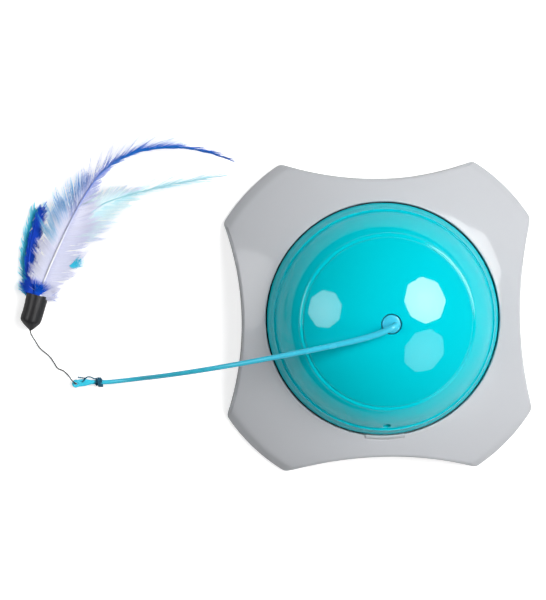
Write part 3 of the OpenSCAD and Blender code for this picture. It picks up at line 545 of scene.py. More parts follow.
class Finishes:
    """The finishes of this object's own pieces."""

    STAND = Moulding("stand_gloss", (0.575, 0.59, 0.62), 0.06, 0.015, 120.0, 0.006, 0.03, 0.0, 0.25)
    PLATE = Moulding("plate_satin", (0.58, 0.59, 0.60), 0.42, 0.03, 900.0, 0.12, 0.08)
    BUTTON = Moulding("button_gloss", (0.52, 0.55, 0.57), 0.2, 0.02, 300.0, 0.02, 0.06)
    DOME = Moulding("dome_gloss", (0.0, 0.63, 0.735), 0.03, 0.02, 110.0, 0.004, 0.02, 0.0, 0.52)
    GASKET = Moulding("gasket_rubber", (0.006, 0.020, 0.026), 0.6, 0.1, 1500.0, 0.1, 0.1)
    FOOT = Moulding("foot_rubber", (0.05, 0.05, 0.055), 0.7, 0.1, 1200.0, 0.25, 0.1)
    LENS = Moulding("lens_black", (0.008, 0.006, 0.010), 0.08, 0.1, 300.0, 0.01, 0.04)
    WAND = Moulding("wand_gloss", (0.055, 0.66, 0.89), 0.22, 0.04, 420.0, 0.05, 0.08, 0.2)
    SLEEVE = Moulding("sleeve_rubber", (0.015, 0.015, 0.017), 0.42, 0.15, 1300.0, 0.18, 0.12)
    SWITCH = Moulding("switch_black", (0.035, 0.035, 0.04), 0.5, 0.08, 900.0, 0.1, 0.1)
    CHIP = Moulding("chip_black", (0.025, 0.025, 0.027), 0.55, 0.08, 1600.0, 0.15, 0.08)
    CAPACITOR = Moulding("capacitor_sleeve", (0.03, 0.05, 0.22), 0.35, 0.06, 700.0, 0.04, 0.08)
    GEAR = Moulding("gear_acetal", (0.74, 0.74, 0.70), 0.38, 0.03, 700.0, 0.06, 0.08)
    CARRIER = Moulding("carrier_grey", (0.40, 0.41, 0.43), 0.45, 0.04, 900.0, 0.12, 0.08)
    RED_LEAD = Moulding("lead_red", (0.45, 0.03, 0.03), 0.4, 0.06, 900.0, 0.05, 0.06)
    BLACK_LEAD = Moulding("lead_black", (0.03, 0.03, 0.032), 0.4, 0.06, 900.0, 0.05, 0.06)
    STEEL = BareMetal("ground_steel", (0.60, 0.61, 0.63), 0.3)
    ZINC = BareMetal("zinc_plate", (0.58, 0.59, 0.60), 0.42, (1.0, 1.0, 1.0))
    NICKEL = BareMetal("nickel_plate", (0.70, 0.69, 0.66), 0.25)
    BOARD = BoardLacquer("board_lacquer", (0.015, 0.16, 0.07))
    CELL = CellSleeve("cell_sleeve", (0.62, 0.36, 0.07))
    STRING = Thread("string_grey", (0.036, 0.038, 0.044))
    WRAP = Thread("wrap_teal", (0.006, 0.115, 0.20))
    WHITE = BarbDye("feather_white", (0.72, 0.72, 0.88), 0.03, 0.03)
    AQUA = BarbDye("feather_aqua", (0.58, 0.84, 0.88), 0.1, 0.05)
    ROYAL = BarbDye("feather_royal", (0.0, 0.05, 0.5), 0.0, 0.02)
    TURQUOISE = BarbDye("feather_turquoise", (0.02, 0.45, 0.6), 0.06, 0.03)


CAD_FINISHES: dict[str, Finish] = {
    "base_plate": Finishes.PLATE, "rim_gasket": Finishes.GASKET, "battery_door": Finishes.PLATE,
    "switch_plunger": Finishes.SWITCH, "switch_body": Finishes.SWITCH, "circuit_board": Finishes.BOARD,
    "controller_chip": Finishes.CHIP, "capacitor": Finishes.CAPACITOR, "receiver": Finishes.CHIP,
    "battery_cells": Finishes.CELL, "contact_plates": Finishes.NICKEL, "motor_can": Finishes.ZINC,
    "motor_end_cap": Finishes.CARRIER, "motor_shaft": Finishes.STEEL, "motor_pinion": Finishes.GEAR,
    "first_gear": Finishes.GEAR, "second_gear": Finishes.GEAR, "output_gear": Finishes.GEAR,
    "gear_pins": Finishes.STEEL, "gearbox_base": Finishes.CARRIER, "gearbox_cover": Finishes.CARRIER,
    "gearbox_pillars": Finishes.CARRIER, "spindle": Finishes.CARRIER, "dome_screws": Finishes.ZINC,
    "stand_screws": Finishes.ZINC, "gearbox_screws": Finishes.ZINC, "board_screws": Finishes.ZINC,
    "battery_leads": Finishes.RED_LEAD, "motor_leads": Finishes.BLACK_LEAD}


def polar(radius: float, degrees: float) -> Flat:
    """Gives the point of a circle about the origin."""
    return radius * math.cos(math.radians(degrees)), radius * math.sin(math.radians(degrees))


def smooth_min(first: float, second: float, width: float) -> float:
    """Gives the lesser of two heights, rounded where they cross."""
    low = min(first, second)
    return low - width * math.log(math.exp((low - first) / width) + math.exp((low - second) / width))


def quarter_drop(distance: float, radius: float) -> float:
    """Gives how far a rounded edge drops at a distance from it."""
    if distance >= radius:
        return 0.0
    return radius - math.sqrt(max(radius * radius - (radius - distance) ** 2, 0.0))


def soften(mesh: bpy.types.Mesh, crease: float) -> None:
    """Shades a mesh smooth, with edges left sharp past an angle in degrees."""
    mesh.polygons.foreach_set("use_smooth", [True] * len(mesh.polygons))
    mesh.set_sharp_from_angle(angle=math.radians(crease))


def solid_mesh(name: str, points: list[Point], faces: list[Face],
               crease: float = 35.0) -> bpy.types.Mesh:
    """Makes a mesh from points in millimetres, merged and turned outwards.

    Args:
        name: Name of the mesh.
        points: Corners, in millimetres.
        faces: Faces as indices.
        crease: Angle past which an edge stays sharp, in degrees.

    Returns:
        The mesh, in metres.
    """
    work = bmesh.new()
    corners = [work.verts.new((x * MM, y * MM, z * MM)) for x, y, z in points]
    for face in faces:
        try:
            work.faces.new([corners[i] for i in face])
        except ValueError:
            continue
    bmesh.ops.remove_doubles(work, verts=work.verts, dist=2e-6)
    bmesh.ops.dissolve_degenerate(work, edges=work.edges, dist=1e-7)
    bmesh.ops.recalc_face_normals(work, faces=work.faces)
    mesh = bpy.data.meshes.new(name)
    work.to_mesh(mesh)
    work.free()
    soften(mesh, crease)
    return mesh


def skin(rings: Band, loop: bool, start: int = 0) -> list[Face]:
    """Gives the faces between rings of the same count.

    Args:
        rings: Closed rings of points.
        loop: Whether the last ring joins the first.
        start: Index of the first ring's first point.

    Returns:
        Faces as indices.
    """
    count = len(rings[0])
    faces = []
    for i in range(len(rings) if loop else len(rings) - 1):
        j = (i + 1) % len(rings)
        for k in range(count):
            m = (k + 1) % count
            faces.append((start + i * count + k, start + j * count + k, start + j * count + m,
                          start + i * count + m))
    return faces


def joined(*bands: Band) -> tuple[list[Point], list[Face]]:
    """Gives the points and faces of bands that each close on themselves."""
    points: list[Point] = []
    faces: list[Face] = []
    for rings in bands:
        faces += skin(rings, True, len(points))
        points += [p for ring in rings for p in ring]
    return points, faces


def capped(rings: Band) -> tuple[list[Point], list[Face]]:
    """Gives the points and faces of a tube with closed ends."""
    points = [p for ring in rings for p in ring]
    count = len(rings[0])
    last = len(points) - count
    return points, skin(rings, False) + [tuple(range(count)), tuple(range(last, last + count))]


def revolve(profile: list[Flat], turns: int, at: Flat = (0.0, 0.0)) -> Band:
    """Turns a profile of radius and height about an upright axis.

    Args:
        profile: Points of the profile.
        turns: Steps round the axis.
        at: Place of the axis.

    Returns:
        One ring of the profile's points at each step.
    """
    rings = []
    for i in range(turns):
        c, s = polar(1.0, 360.0 * i / turns)
        rings.append([(at[0] + r * c, at[1] + r * s, z) for r, z in profile])
    return rings


def link_piece(name: str, mesh: bpy.types.Mesh, material: bpy.types.Material | None) -> bpy.types.Object:
    """Puts a mesh into the scene as a piece.

    Args:
        name: Name of the piece.
        mesh: Its mesh, in place.
        material: Its material, unless the mesh has one.

    Returns:
        The piece.
    """
    piece = bpy.data.objects.new(name, mesh)
    bpy.context.scene.collection.objects.link(piece)
    if material is not None:
        mesh.materials.clear()
        mesh.materials.append(material)
    return piece


def settle(piece: bpy.types.Object, body: Body, slot: str, *nodes: str) -> bpy.types.Object:
    """Lets a piece ride on a body in place of its CAD nodes, and logs it.

    Args:
        piece: The piece.
        body: Body that it moves with.
        slot: Not used.
        *nodes: CAD nodes that it stands for.

    Returns:
        The piece.
    """
    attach(piece, body.value)
    if nodes:
        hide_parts(*nodes)
    LOG.info("%s rides on %s, %d faces", piece.name, body.value, len(piece.data.polygons))
    return piece


def baked(piece: bpy.types.Object) -> bpy.types.Object:
    """Turns a piece with modifiers into a plain mesh of the same name."""
    graph = bpy.context.evaluated_depsgraph_get()
    mesh = bpy.data.meshes.new_from_object(piece.evaluated_get(graph), preserve_all_data_layers=True,
                                           depsgraph=graph)
    name = piece.name
    old = piece.data
    bpy.data.objects.remove(piece)
    bpy.data.meshes.remove(old)
    return link_piece(name, mesh, None)


@dataclass(frozen=True)
class Twist:
    """Lay of a two-ply thread: sizes in metres, and sides of a ply."""

    ply: float
    offset: float
    pitch: float
    step: float
    sides: int = 6


class GrowTrees:
    """Geometry Nodes trees that sweep and repeat shapes."""

    BARB_SIDES = 3
    SHAFT_SIDES = 8
    PLIES = 2

    def __init__(self) -> None:
        """Builds each tree once."""
        self.tube = self.tube_sweep()
        self.thread = self.twisted_thread()
        self.barbs = self.barb_sweep()
        self.feet = self.foot_array()

    @staticmethod
    def shade(wiring: Wiring, shape: bpy.types.NodeSocket, smooth: bool) -> bpy.types.NodeSocket:
        """Shades a shape smooth or flat."""
        node = wiring.add("GeometryNodeSetShadeSmooth")
        wiring.feed(node.inputs["Geometry"], shape)
        node.inputs["Shade Smooth"].default_value = smooth
        return node.outputs["Geometry"]

    @staticmethod
    def finish(wiring: Wiring, shape: bpy.types.NodeSocket, given: dict, out: dict) -> None:
        """Ends a tree in Realize Instances and Set Material."""
        real = wiring.add("GeometryNodeRealizeInstances")
        wiring.feed(real.inputs["Geometry"], shape)
        dress = wiring.add("GeometryNodeSetMaterial")
        wiring.feed(dress.inputs["Geometry"], real.outputs["Geometry"])
        wiring.feed(dress.inputs["Material"], given["Material"])
        wiring.feed(out["Geometry"], dress.outputs["Geometry"])

    @staticmethod
    def carried(wiring: Wiring, label: str) -> bpy.types.NodeSocket:
        """Reads a value that each point of a path carries."""
        node = wiring.add("GeometryNodeInputNamedAttribute", data_type="FLOAT")
        node.inputs["Name"].default_value = label
        return node.outputs["Attribute"]

    @staticmethod
    def sweep(wiring: Wiring, path: bpy.types.NodeSocket, profile: bpy.types.NodeSocket,
              scale: object) -> bpy.types.NodeSocket:
        """Sweeps a profile along a path, with closed ends."""
        node = wiring.add("GeometryNodeCurveToMesh")
        wiring.feed(node.inputs["Curve"], path)
        wiring.feed(node.inputs["Profile Curve"], profile)
        wiring.feed(node.inputs["Scale"], scale)
        node.inputs["Fill Caps"].default_value = True
        return node.outputs["Mesh"]

    @staticmethod
    def path(wiring: Wiring, given: dict) -> bpy.types.NodeSocket:
        """Turns the lines that a tree is given into curves."""
        node = wiring.add("GeometryNodeMeshToCurve")
        wiring.feed(node.inputs["Mesh"], given["Geometry"])
        return node.outputs["Curve"]

    @staticmethod
    def circle(wiring: Wiring, sides: object) -> bpy.types.NodeSocket:
        """Adds a circle of radius 1 with a number of sides."""
        node = wiring.add("GeometryNodeCurvePrimitiveCircle")
        wiring.feed(node.inputs["Resolution"], sides)
        node.inputs["Radius"].default_value = 1.0
        return node.outputs["Curve"]

    @classmethod
    def tube_sweep(cls) -> bpy.types.NodeTree:
        """Builds a round tube along a line whose points carry their girth."""
        wiring, given, out = new_group(
            "GeometryNodeTree", "TubeSweep",
            {"Geometry": "NodeSocketGeometry", "Sides": "NodeSocketInt", "Material": "NodeSocketMaterial"},
            {"Geometry": "NodeSocketGeometry"})
        tube = cls.sweep(wiring, cls.path(wiring, given), cls.circle(wiring, given["Sides"]),
                         cls.carried(wiring, "girth"))
        cls.finish(wiring, cls.shade(wiring, tube, True), given, out)
        return wiring.tree

    @classmethod
    def twisted_thread(cls) -> bpy.types.NodeTree:
        """Builds plies that wind round a line, as in a laid thread."""
        wiring, given, out = new_group(
            "GeometryNodeTree", "TwistedThread",
            {"Geometry": "NodeSocketGeometry", "Ply Radius": "NodeSocketFloat",
             "Ply Offset": "NodeSocketFloat",
             "Pitch": "NodeSocketFloat", "Step": "NodeSocketFloat", "Sides": "NodeSocketInt",
             "Material": "NodeSocketMaterial"},
            {"Geometry": "NodeSocketGeometry"})
        even = wiring.add("GeometryNodeResampleCurve", mode="LENGTH")
        wiring.feed(even.inputs["Curve"], cls.path(wiring, given))
        wiring.feed(even.inputs["Length"], given["Step"])
        circle = cls.circle(wiring, given["Sides"])
        normal = wiring.add("GeometryNodeInputNormal").outputs["Normal"]
        tangent = wiring.add("GeometryNodeInputTangent").outputs["Tangent"]
        across = wiring.vector("CROSS_PRODUCT", tangent, normal).outputs["Vector"]
        run = wiring.add("GeometryNodeSplineParameter").outputs["Length"]
        turn = wiring.sum("MULTIPLY", wiring.sum("DIVIDE", run, given["Pitch"]), math.tau)
        join = wiring.add("GeometryNodeJoinGeometry")
        for ply in range(cls.PLIES):
            angle = wiring.sum("ADD", turn, math.tau * ply / cls.PLIES)
            one = wiring.vector("SCALE", normal, wiring.sum("COSINE", angle)).outputs["Vector"]
            two = wiring.vector("SCALE", across, wiring.sum("SINE", angle)).outputs["Vector"]
            both = wiring.vector("ADD", one, two).outputs["Vector"]
            shift = wiring.vector("SCALE", both, given["Ply Offset"]).outputs["Vector"]
            moved = wiring.add("GeometryNodeSetPosition")
            wiring.feed(moved.inputs["Geometry"], even.outputs["Curve"])
            wiring.feed(moved.inputs["Offset"], shift)
            strand = cls.sweep(wiring, moved.outputs["Geometry"], circle, given["Ply Radius"])
            wiring.feed(join.inputs["Geometry"], strand)
        cls.finish(wiring, cls.shade(wiring, join.outputs["Geometry"], True), given, out)
        return wiring.tree

    @classmethod
    def barb_sweep(cls) -> bpy.types.NodeTree:
        """Builds flat barbs along many lines, and round shafts along those marked as a stem."""
        wiring, given, out = new_group(
            "GeometryNodeTree", "BarbSweep",
            {"Geometry": "NodeSocketGeometry", "Flatness": "NodeSocketFloat",
             "Material": "NodeSocketMaterial"},
            {"Geometry": "NodeSocketGeometry"})
        level = wiring.add("GeometryNodeSetCurveNormal", mode="Z_UP")
        wiring.feed(level.inputs["Curve"], cls.path(wiring, given))
        flat = wiring.add("GeometryNodeTransform")
        scale = wiring.add("ShaderNodeCombineXYZ")
        scale.inputs["X"].default_value = 1.0
        wiring.feed(scale.inputs["Y"], given["Flatness"])
        scale.inputs["Z"].default_value = 1.0
        wiring.feed(flat.inputs["Geometry"], cls.circle(wiring, cls.BARB_SIDES))
        wiring.feed(flat.inputs["Scale"], scale.outputs["Vector"])
        split = wiring.add("GeometryNodeSeparateGeometry", domain="CURVE")
        wiring.feed(split.inputs["Geometry"], level.outputs["Curve"])
        wiring.feed(split.inputs["Selection"], cls.carried(wiring, "stem"))
        barbs = cls.sweep(wiring, split.outputs["Inverted"], flat.outputs["Geometry"],
                          cls.carried(wiring, "girth"))
        shaft = cls.sweep(wiring, split.outputs["Selection"], cls.circle(wiring, cls.SHAFT_SIDES),
                          cls.carried(wiring, "girth"))
        join = wiring.add("GeometryNodeJoinGeometry")
        wiring.feed(join.inputs["Geometry"], cls.shade(wiring, barbs, False))
        wiring.feed(join.inputs["Geometry"], cls.shade(wiring, shaft, True))
        cls.finish(wiring, join.outputs["Geometry"], given, out)
        return wiring.tree

    @classmethod
    def foot_array(cls) -> bpy.types.NodeTree:
        """Builds a copy of one foot at each point."""
        wiring, given, out = new_group(
            "GeometryNodeTree", "FootArray",
            {"Geometry": "NodeSocketGeometry", "Foot": "NodeSocketObject", "Material": "NodeSocketMaterial"},
            {"Geometry": "NodeSocketGeometry"})
        foot = wiring.add("GeometryNodeObjectInfo")
        wiring.feed(foot.inputs["Object"], given["Foot"])
        copies = wiring.add("GeometryNodeInstanceOnPoints")
        wiring.feed(copies.inputs["Points"], given["Geometry"])
        wiring.feed(copies.inputs["Instance"], foot.outputs["Geometry"])
        cls.finish(wiring, copies.outputs["Instances"], given, out)
        return wiring.tree

    @staticmethod
    def grow(name: str, seed: bpy.types.Mesh, tree: bpy.types.NodeTree, **values: object) -> bpy.types.Object:
        """Runs a tree on a seed mesh and keeps the result as a plain mesh.

        Args:
            name: Name of the piece.
            seed: Mesh of points or lines.
            tree: The tree.
            **values: The tree's inputs, with _ for a blank.

        Returns:
            The piece.
        """
        holder = link_piece(name, seed, None)
        modifier = holder.modifiers.new("grow", "NODES")
        modifier.node_group = tree
        for item in tree.interface.items_tree:
            label = item.name.replace(" ", "_")
            if item.in_out == "INPUT" and label in values:
                modifier[item.identifier] = values[label]
        return baked(holder)

    def spin(self, name: str, lines: list[list[Point]], twist: Twist,
             material: bpy.types.Material) -> bpy.types.Object:
        """Grows a laid thread along lines.

        Args:
            name: Name of the piece.
            lines: Open lines, in millimetres.
            twist: Lay of the thread.
            material: Its material.

        Returns:
            The piece.
        """
        return self.grow(name, line_mesh(name, lines), self.thread, Ply_Radius=twist.ply,
                         Ply_Offset=twist.offset, Pitch=twist.pitch, Step=twist.step, Sides=twist.sides,
                         Material=material)


def line_mesh(name: str, lines: list[list[Point]], **layers: list[float]) -> bpy.types.Mesh:
    """Makes a mesh of open lines in millimetres, whose points carry values.

    Args:
        name: Name of the mesh.
        lines: Open lines.
        **layers: Values for all points in turn, by attribute name.

    Returns:
        The mesh, in metres.
    """
    points: list[Point] = []
    edges: list[tuple[int, int]] = []
    for line in lines:
        first = len(points)
        points += [(x * MM, y * MM, z * MM) for x, y, z in line]
        edges += [(first + i, first + i + 1) for i in range(len(line) - 1)]
    mesh = bpy.data.meshes.new(name)
    mesh.from_pydata(points, edges, [])
    for label, values in layers.items():
        mesh.attributes.new(label, "FLOAT", "POINT").data.foreach_set("value", values)
    return mesh


def through(points: list[Point], steps: int) -> list[Point]:
    """Runs a smooth curve through points.

    Args:
        points: Points on the curve.
        steps: Steps between two of them.

    Returns:
        Points along the curve.
    """
    ends = [points[0], *points, points[-1]]
    curve: list[Point] = []
    for i in range(1, len(ends) - 2):
        a, b, c, d = (Vector(p) for p in ends[i - 1:i + 3])
        for k in range(steps):
            t = k / steps
            bow = 2 * a - 5 * b + 4 * c - d
            twist = 3 * b - a - 3 * c + d
            curve.append(tuple(0.5 * (2 * b + (c - a) * t + bow * t * t + twist * t ** 3)))
    curve.append(tuple(points[-1]))
    return curve


def screw_bosses(size: Point, at: float, skin_z: Callable[[float], float]) -> list[Band]:
    """Gives four hollow bosses that end inside the shell above them.

    Args:
        size: Radius of the hole, outer radius and height of the foot.
        at: Distance from both axes.
        skin_z: Height of the shell's middle at a radius.

    Returns:
        The rings of each boss.
    """
    hole, out, low = size
    high = low + 1.0
    profile = [(hole, low), (out, low), (out, high), (hole, high)]
    bosses = []
    for spot in ((at, at), (-at, at), (-at, -at), (at, -at)):
        bosses.append([[(x, y, low if z == low else skin_z(math.hypot(x, y))) for x, y, z in ring]
                       for ring in revolve(profile, BOSS_TURNS, spot)])
    return bosses


@dataclass
class Stand:
    """Four-lobed stand: crowned top with collar, and feet."""

    book: FinishBook
    trees: GrowTrees
    lobe_r: float = 103.0
    rim_r: float = 65.4
    waist_r: float = 78.0
    corner_r: float = 4.5
    lobe_half: float = 13.0
    wall: float = 2.4
    crown_r: float = 186.2
    crown_z: float = -150.2
    edge_r: float = 99.0
    edge_h: float = 7.5
    bevel: float = 1.25
    foot_h: float = 1.6
    ledge: tuple[float, float, float] = (58.6, 17.4, 19.6)
    well_r: float = 67.3
    well_half: float = 9.68
    well_wall: float = 2.0
    boss: tuple[float, float, float] = (1.52, 4.0, 4.4)
    boss_at: float = 49.43
    foot_at: float = 63.64
    foot: tuple[Flat, ...] = ((0.0, 0.0), (3.2, 0.0), (3.5, 0.35), (4.1, 0.35), (4.4, 0.0), (5.4, 0.0),
                              (5.8, 0.15), (6.0, 0.5), (6.0, 2.4), (0.0, 2.4))
    foot_turns: int = 40
    crease: float = 30.0
    blend: float = 0.4
    fillet: float = 0.8
    edge: float = 1.5
    side_steps: int = 22
    lobe_steps: int = 18
    corner_steps: int = 10
    bite: Flat = field(init=False)

    def __post_init__(self) -> None:
        """Works out the circle that bites each hollow side."""
        c = math.cos(math.radians(45.0 - self.lobe_half))
        x = (self.lobe_r ** 2 - self.waist_r ** 2) / (2 * (self.lobe_r * c - self.waist_r))
        self.bite = (x, x - self.waist_r)

    def top(self, radius: float) -> float:
        """Gives the height of the crowned top, with its rounded bevel."""
        crown = self.crown_z + math.sqrt(self.crown_r ** 2 - radius ** 2)
        bevel = self.edge_h - (radius - self.edge_r) * self.bevel
        return smooth_min(crown, bevel, self.blend)

    def outline(self) -> list[tuple[Flat, Flat]]:
        """Gives the points of the outline with their outward directions."""
        x, r = self.bite
        centre = self.lobe_r - self.corner_r
        reach = r + self.corner_r
        phi = math.degrees(math.acos((centre ** 2 + x ** 2 - reach ** 2) / (2 * centre * x)))
        gam = math.degrees(math.asin(centre * math.sin(math.radians(phi)) / reach))
        end = math.degrees(math.atan2(r * math.sin(math.radians(gam)), x - r * math.cos(math.radians(gam))))
        stops = [end * (i / self.side_steps - 1.0) for i in range(2 * self.side_steps + 1)]
        stops += [s * (self.well_half + d) for s in (-1, 1) for d in (-0.02, 0.02)]
        quarter: list[tuple[Flat, Flat]] = []
        for a in sorted(stops):
            c, s = polar(1.0, a)
            out = x * c - math.sqrt(r * r - (x * s) ** 2)
            p = (out * c, out * s)
            quarter.append((p, ((x - p[0]) / r, -p[1] / r)))
        for start, stop, turn in ((-gam, phi, phi), (90 - phi, 90 + gam, 90 - phi)):
            past = turn > 45
            if past:
                for i in range(1, self.lobe_steps):
                    n = polar(1.0, phi + (90 - 2 * phi) * i / self.lobe_steps)
                    quarter.append(((self.lobe_r * n[0], self.lobe_r * n[1]), n))
            hub = polar(centre, turn)
            first = 0 if past else 1
            for i in range(first, first + self.corner_steps):
                n = polar(1.0, start + (stop - start) * i / self.corner_steps)
                quarter.append(((hub[0] + self.corner_r * n[0], hub[1] + self.corner_r * n[1]), n))
        whole = []
        for k in range(4):
            c, s = round(math.cos(k * math.pi / 2)), round(math.sin(k * math.pi / 2))
            whole += [((p[0] * c - p[1] * s, p[0] * s + p[1] * c), (n[0] * c - n[1] * s, n[0] * s + n[1] * c))
                      for p, n in quarter]
        return whole

    def column(self, p: Flat, n: Flat) -> Ring:
        """Gives the closed section of the shell at one point of its outline.

        Args:
            p: Point of the outline.
            n: Outward direction there.

        Returns:
            The section's points.
        """
        far = math.hypot(*p)
        e = (p[0] / far, p[1] / far)
        off = abs(math.degrees(math.atan2(e[0], -e[1])))
        well = off < self.well_half
        rim = self.well_r if well else self.rim_r
        back = rim + (self.well_wall if well else self.wall)
        lip, low, shelf = self.ledge
        fillet = self.fillet
        edge = min(self.edge, 0.6 * (self.top(far) - self.foot_h))
        edge_run = edge / max(n[0] * e[0] + n[1] * e[1], 0.5)
        section: list[Flat] = [(lip, low), (lip, shelf), (rim, shelf), (rim, self.top(rim) - 2.0)]
        for i in range(6):
            d = fillet * (1 - math.cos(math.radians(18 * i)))
            section.append((rim + d, self.top(rim + d) - quarter_drop(d, fillet)))
        start, stop = rim + fillet, far - edge_run
        shares = [0.1 * i for i in range(1, 8)] + [0.7 + 0.3 * i / 18 for i in range(1, 19)]
        section += [(r, self.top(r)) for r in (start + (stop - start) * s for s in shares)]
        for i in range(1, 8):
            d = edge * (1 - math.sin(math.radians(90 * i / 7)))
            section.append((far - d / edge * edge_run, self.top(far - d) - quarter_drop(d, edge)))
        section += [(far, (self.foot_h + self.top(far) - edge) / 2), (far, self.foot_h)]
        ring = [(r * e[0], r * e[1], z) for r, z in section]
        inner = (p[0] - self.wall * n[0], p[1] - self.wall * n[1])
        depth = math.hypot(*inner)
        f = (inner[0] / depth, inner[1] / depth)
        under = max(self.top(depth) - self.wall - 0.3, self.foot_h + 0.4)
        ring += [(inner[0], inner[1], self.foot_h), (inner[0], inner[1], under)]
        for s in (0.3, 0.65):
            r = depth + (back - depth) * s
            ring.append((r * f[0], r * f[1], self.top(r) - self.wall - 0.2))
        ring += [(back * e[0], back * e[1], self.top(back) - self.wall), (back * e[0], back * e[1], low)]
        return ring

    def bosses(self) -> list[Band]:
        """Gives the screw bosses under the crown."""
        return screw_bosses(self.boss, self.boss_at, lambda r: self.top(r) - self.wall / 2)

    def build(self) -> None:
        """Builds the top and the feet."""
        shell = [self.column(p, n) for p, n in self.outline()]
        mesh = solid_mesh("stand_top", *joined(shell, *self.bosses()), self.crease)
        settle(link_piece("stand_top", mesh, self.book.get(Finishes.STAND)), Body.HOUSING, "stand_white",
               "stand_shell")
        shape = solid_mesh("foot_shape", *joined(revolve(self.foot, self.foot_turns)))
        foot = link_piece("foot_shape", shape, None)
        spots = [(sx * self.foot_at, sy * self.foot_at, 0.0) for sx in (-1, 1) for sy in (-1, 1)]
        seed = bpy.data.meshes.new("grip_feet")
        seed.from_pydata([(x * MM, y * MM, z * MM) for x, y, z in spots], [], [])
        feet = self.trees.grow("grip_feet", seed, self.trees.feet, Foot=foot,
                               Material=self.book.get(Finishes.FOOT))
        bpy.data.objects.remove(foot)
        settle(feet, Body.HOUSING, "foot_rubber", "rubber_feet")


@dataclass
class Dome:
    """Turquoise dome with its groove and skirt, the receiver's lens and the push button."""

    book: FinishBook
    flange_r: float = 64.6
    flange_z: float = 21.2
    flange_top: float = 23.6
    cap: tuple[float, float] = (79.0, -15.0)
    ridge_r: float = 46.7
    shoulder: tuple[float, float, float] = (40.0, 23.054, 16.456)
    ripples: tuple[Point, ...] = ((0.09, 4.6, 0.5), (-0.08, 3.6, 0.45), (0.1, 2.2, 0.5), (-0.06, 1.2, 0.4))
    skirt: Flat = (61.2, 31.0)
    wall: float = 2.2
    hole_r: float = 5.5
    boss: tuple[float, float, float] = (1.52, 4.0, 20.0)
    boss_at: float = 36.84
    window: tuple[float, float, float] = (2.2, 35.5, 56.95)
    button: tuple[float, float, float, float, float] = (65.0, 67.2, 20.9, 24.6, 9.6)
    button_stem: tuple[float, float] = (2.0, 14.4)
    turns: int = 200
    lens_turns: int = 40
    stem_turns: int = 24
    window_sides: int = 48
    crease: float = 38.0
    button_crease: float = 40.0
    lip: float = 0.6
    groove_half: float = 3.4
    groove_steps: int = 34
    cap_steps: int = 40
    shoulder_steps: int = 60

    def cap_point(self, radius: float, inset: float) -> Flat:
        """Gives a point of the cap's arc at a radius."""
        r, z = self.cap
        return radius, z + math.sqrt((r - inset) ** 2 - radius ** 2)

    def shoulder_point(self, degrees: float, inset: float) -> Flat:
        """Gives a point of the shoulder's arc at an angle."""
        r, x, z = self.shoulder
        c, s = polar(r - inset, degrees)
        return x + c, z + s

    def outside(self) -> list[Flat]:
        """Gives the outer section, from the hole to the flange's foot."""
        line: list[Flat] = []
        lip = self.lip
        for i in range(6):
            d = lip * (1 - math.cos(math.radians(18 * i)))
            r, z = self.cap_point(self.hole_r + d, 0.0)
            line.append((r, z - quarter_drop(d, lip)))
        cap_r, cap_z = self.cap
        start = math.degrees(math.asin((self.hole_r + lip) / cap_r))
        ridge = math.degrees(math.asin(self.ridge_r / cap_r))
        half = self.groove_half
        groove = [-half + 2 * half * i / self.groove_steps for i in range(self.groove_steps + 1)]
        stop = ridge - math.degrees(half / cap_r)
        line += [(cap_r * math.sin(math.radians(a)), cap_z + cap_r * math.cos(math.radians(a)))
                 for a in (start + (stop - start) * i / self.cap_steps for i in range(1, self.cap_steps))]
        rr, sx, sz = self.shoulder
        for s in groove:
            dip = -0.5 * math.exp(-(s / 0.6) ** 2) + 0.16 * math.exp(-((s - 1.7) / 0.7) ** 2)
            if s < 0:
                a = math.radians(ridge + math.degrees(s / cap_r))
                line.append(((cap_r + dip) * math.sin(a), cap_z + (cap_r + dip) * math.cos(a)))
            else:
                a = math.radians(90 - ridge - math.degrees(s / rr))
                line.append((sx + (rr + dip) * math.cos(a), sz + (rr + dip) * math.sin(a)))
        high = 90 - ridge - math.degrees(half / rr)
        low = math.degrees(math.asin((self.skirt[1] - sz) / rr))
        for i in range(1, self.shoulder_steps + 1):
            a = high + (low - high) * i / self.shoulder_steps
            up = rr * math.radians(a - low)
            step = sum(rise * math.exp(-((up - at) / wide) ** 2) for rise, at, wide in self.ripples)
            line.append(self.shoulder_point(a, -step))
        knee = line[-1]
        line += [(knee[0] + 0.10, knee[1] - 0.35), (knee[0] + 0.32, knee[1] - 0.48),
                 (knee[0] + 0.55, knee[1] - 0.36),
                 (knee[0] + 0.72, knee[1] - 0.12), (self.skirt[0] - 0.05, self.skirt[1] - 0.02),
                 (self.skirt[0] + 0.18, self.skirt[1] - 0.25)]
        drop = self.skirt[1] - self.flange_top
        run = self.flange_r - self.skirt[0]
        for share, shift in ((0.1, 0.0), (0.2, 0.0), (0.32, 0.0), (0.42, 0.0), (0.46, -0.16), (0.5, -0.22),
                             (0.54, -0.1), (0.6, 0.0), (0.7, 0.0), (0.8, 0.0), (0.9, 0.0), (0.96, -0.02)):
            line.append((self.skirt[0] + run * share + shift, self.skirt[1] - drop * share))
        line += [(self.flange_r - 0.06, self.flange_top - 0.15), (self.flange_r, self.flange_top - 0.5),
                 (self.flange_r, self.flange_z + 0.3), (self.flange_r - 0.3, self.flange_z)]
        return line

    def inside(self) -> list[Flat]:
        """Gives the inner section, from the flange's foot back to the hole."""
        t = self.wall
        line = [(self.flange_r - t, self.flange_z), (self.flange_r - t, self.flange_top),
                (self.skirt[0] - t, self.skirt[1] - t)]
        line += [self.shoulder_point(20.0 + 32.0 * i / 8, t) for i in range(9)]
        line += [self.cap_point(46.0 - (46.0 - self.hole_r) * i / 12, t) for i in range(13)]
        return line

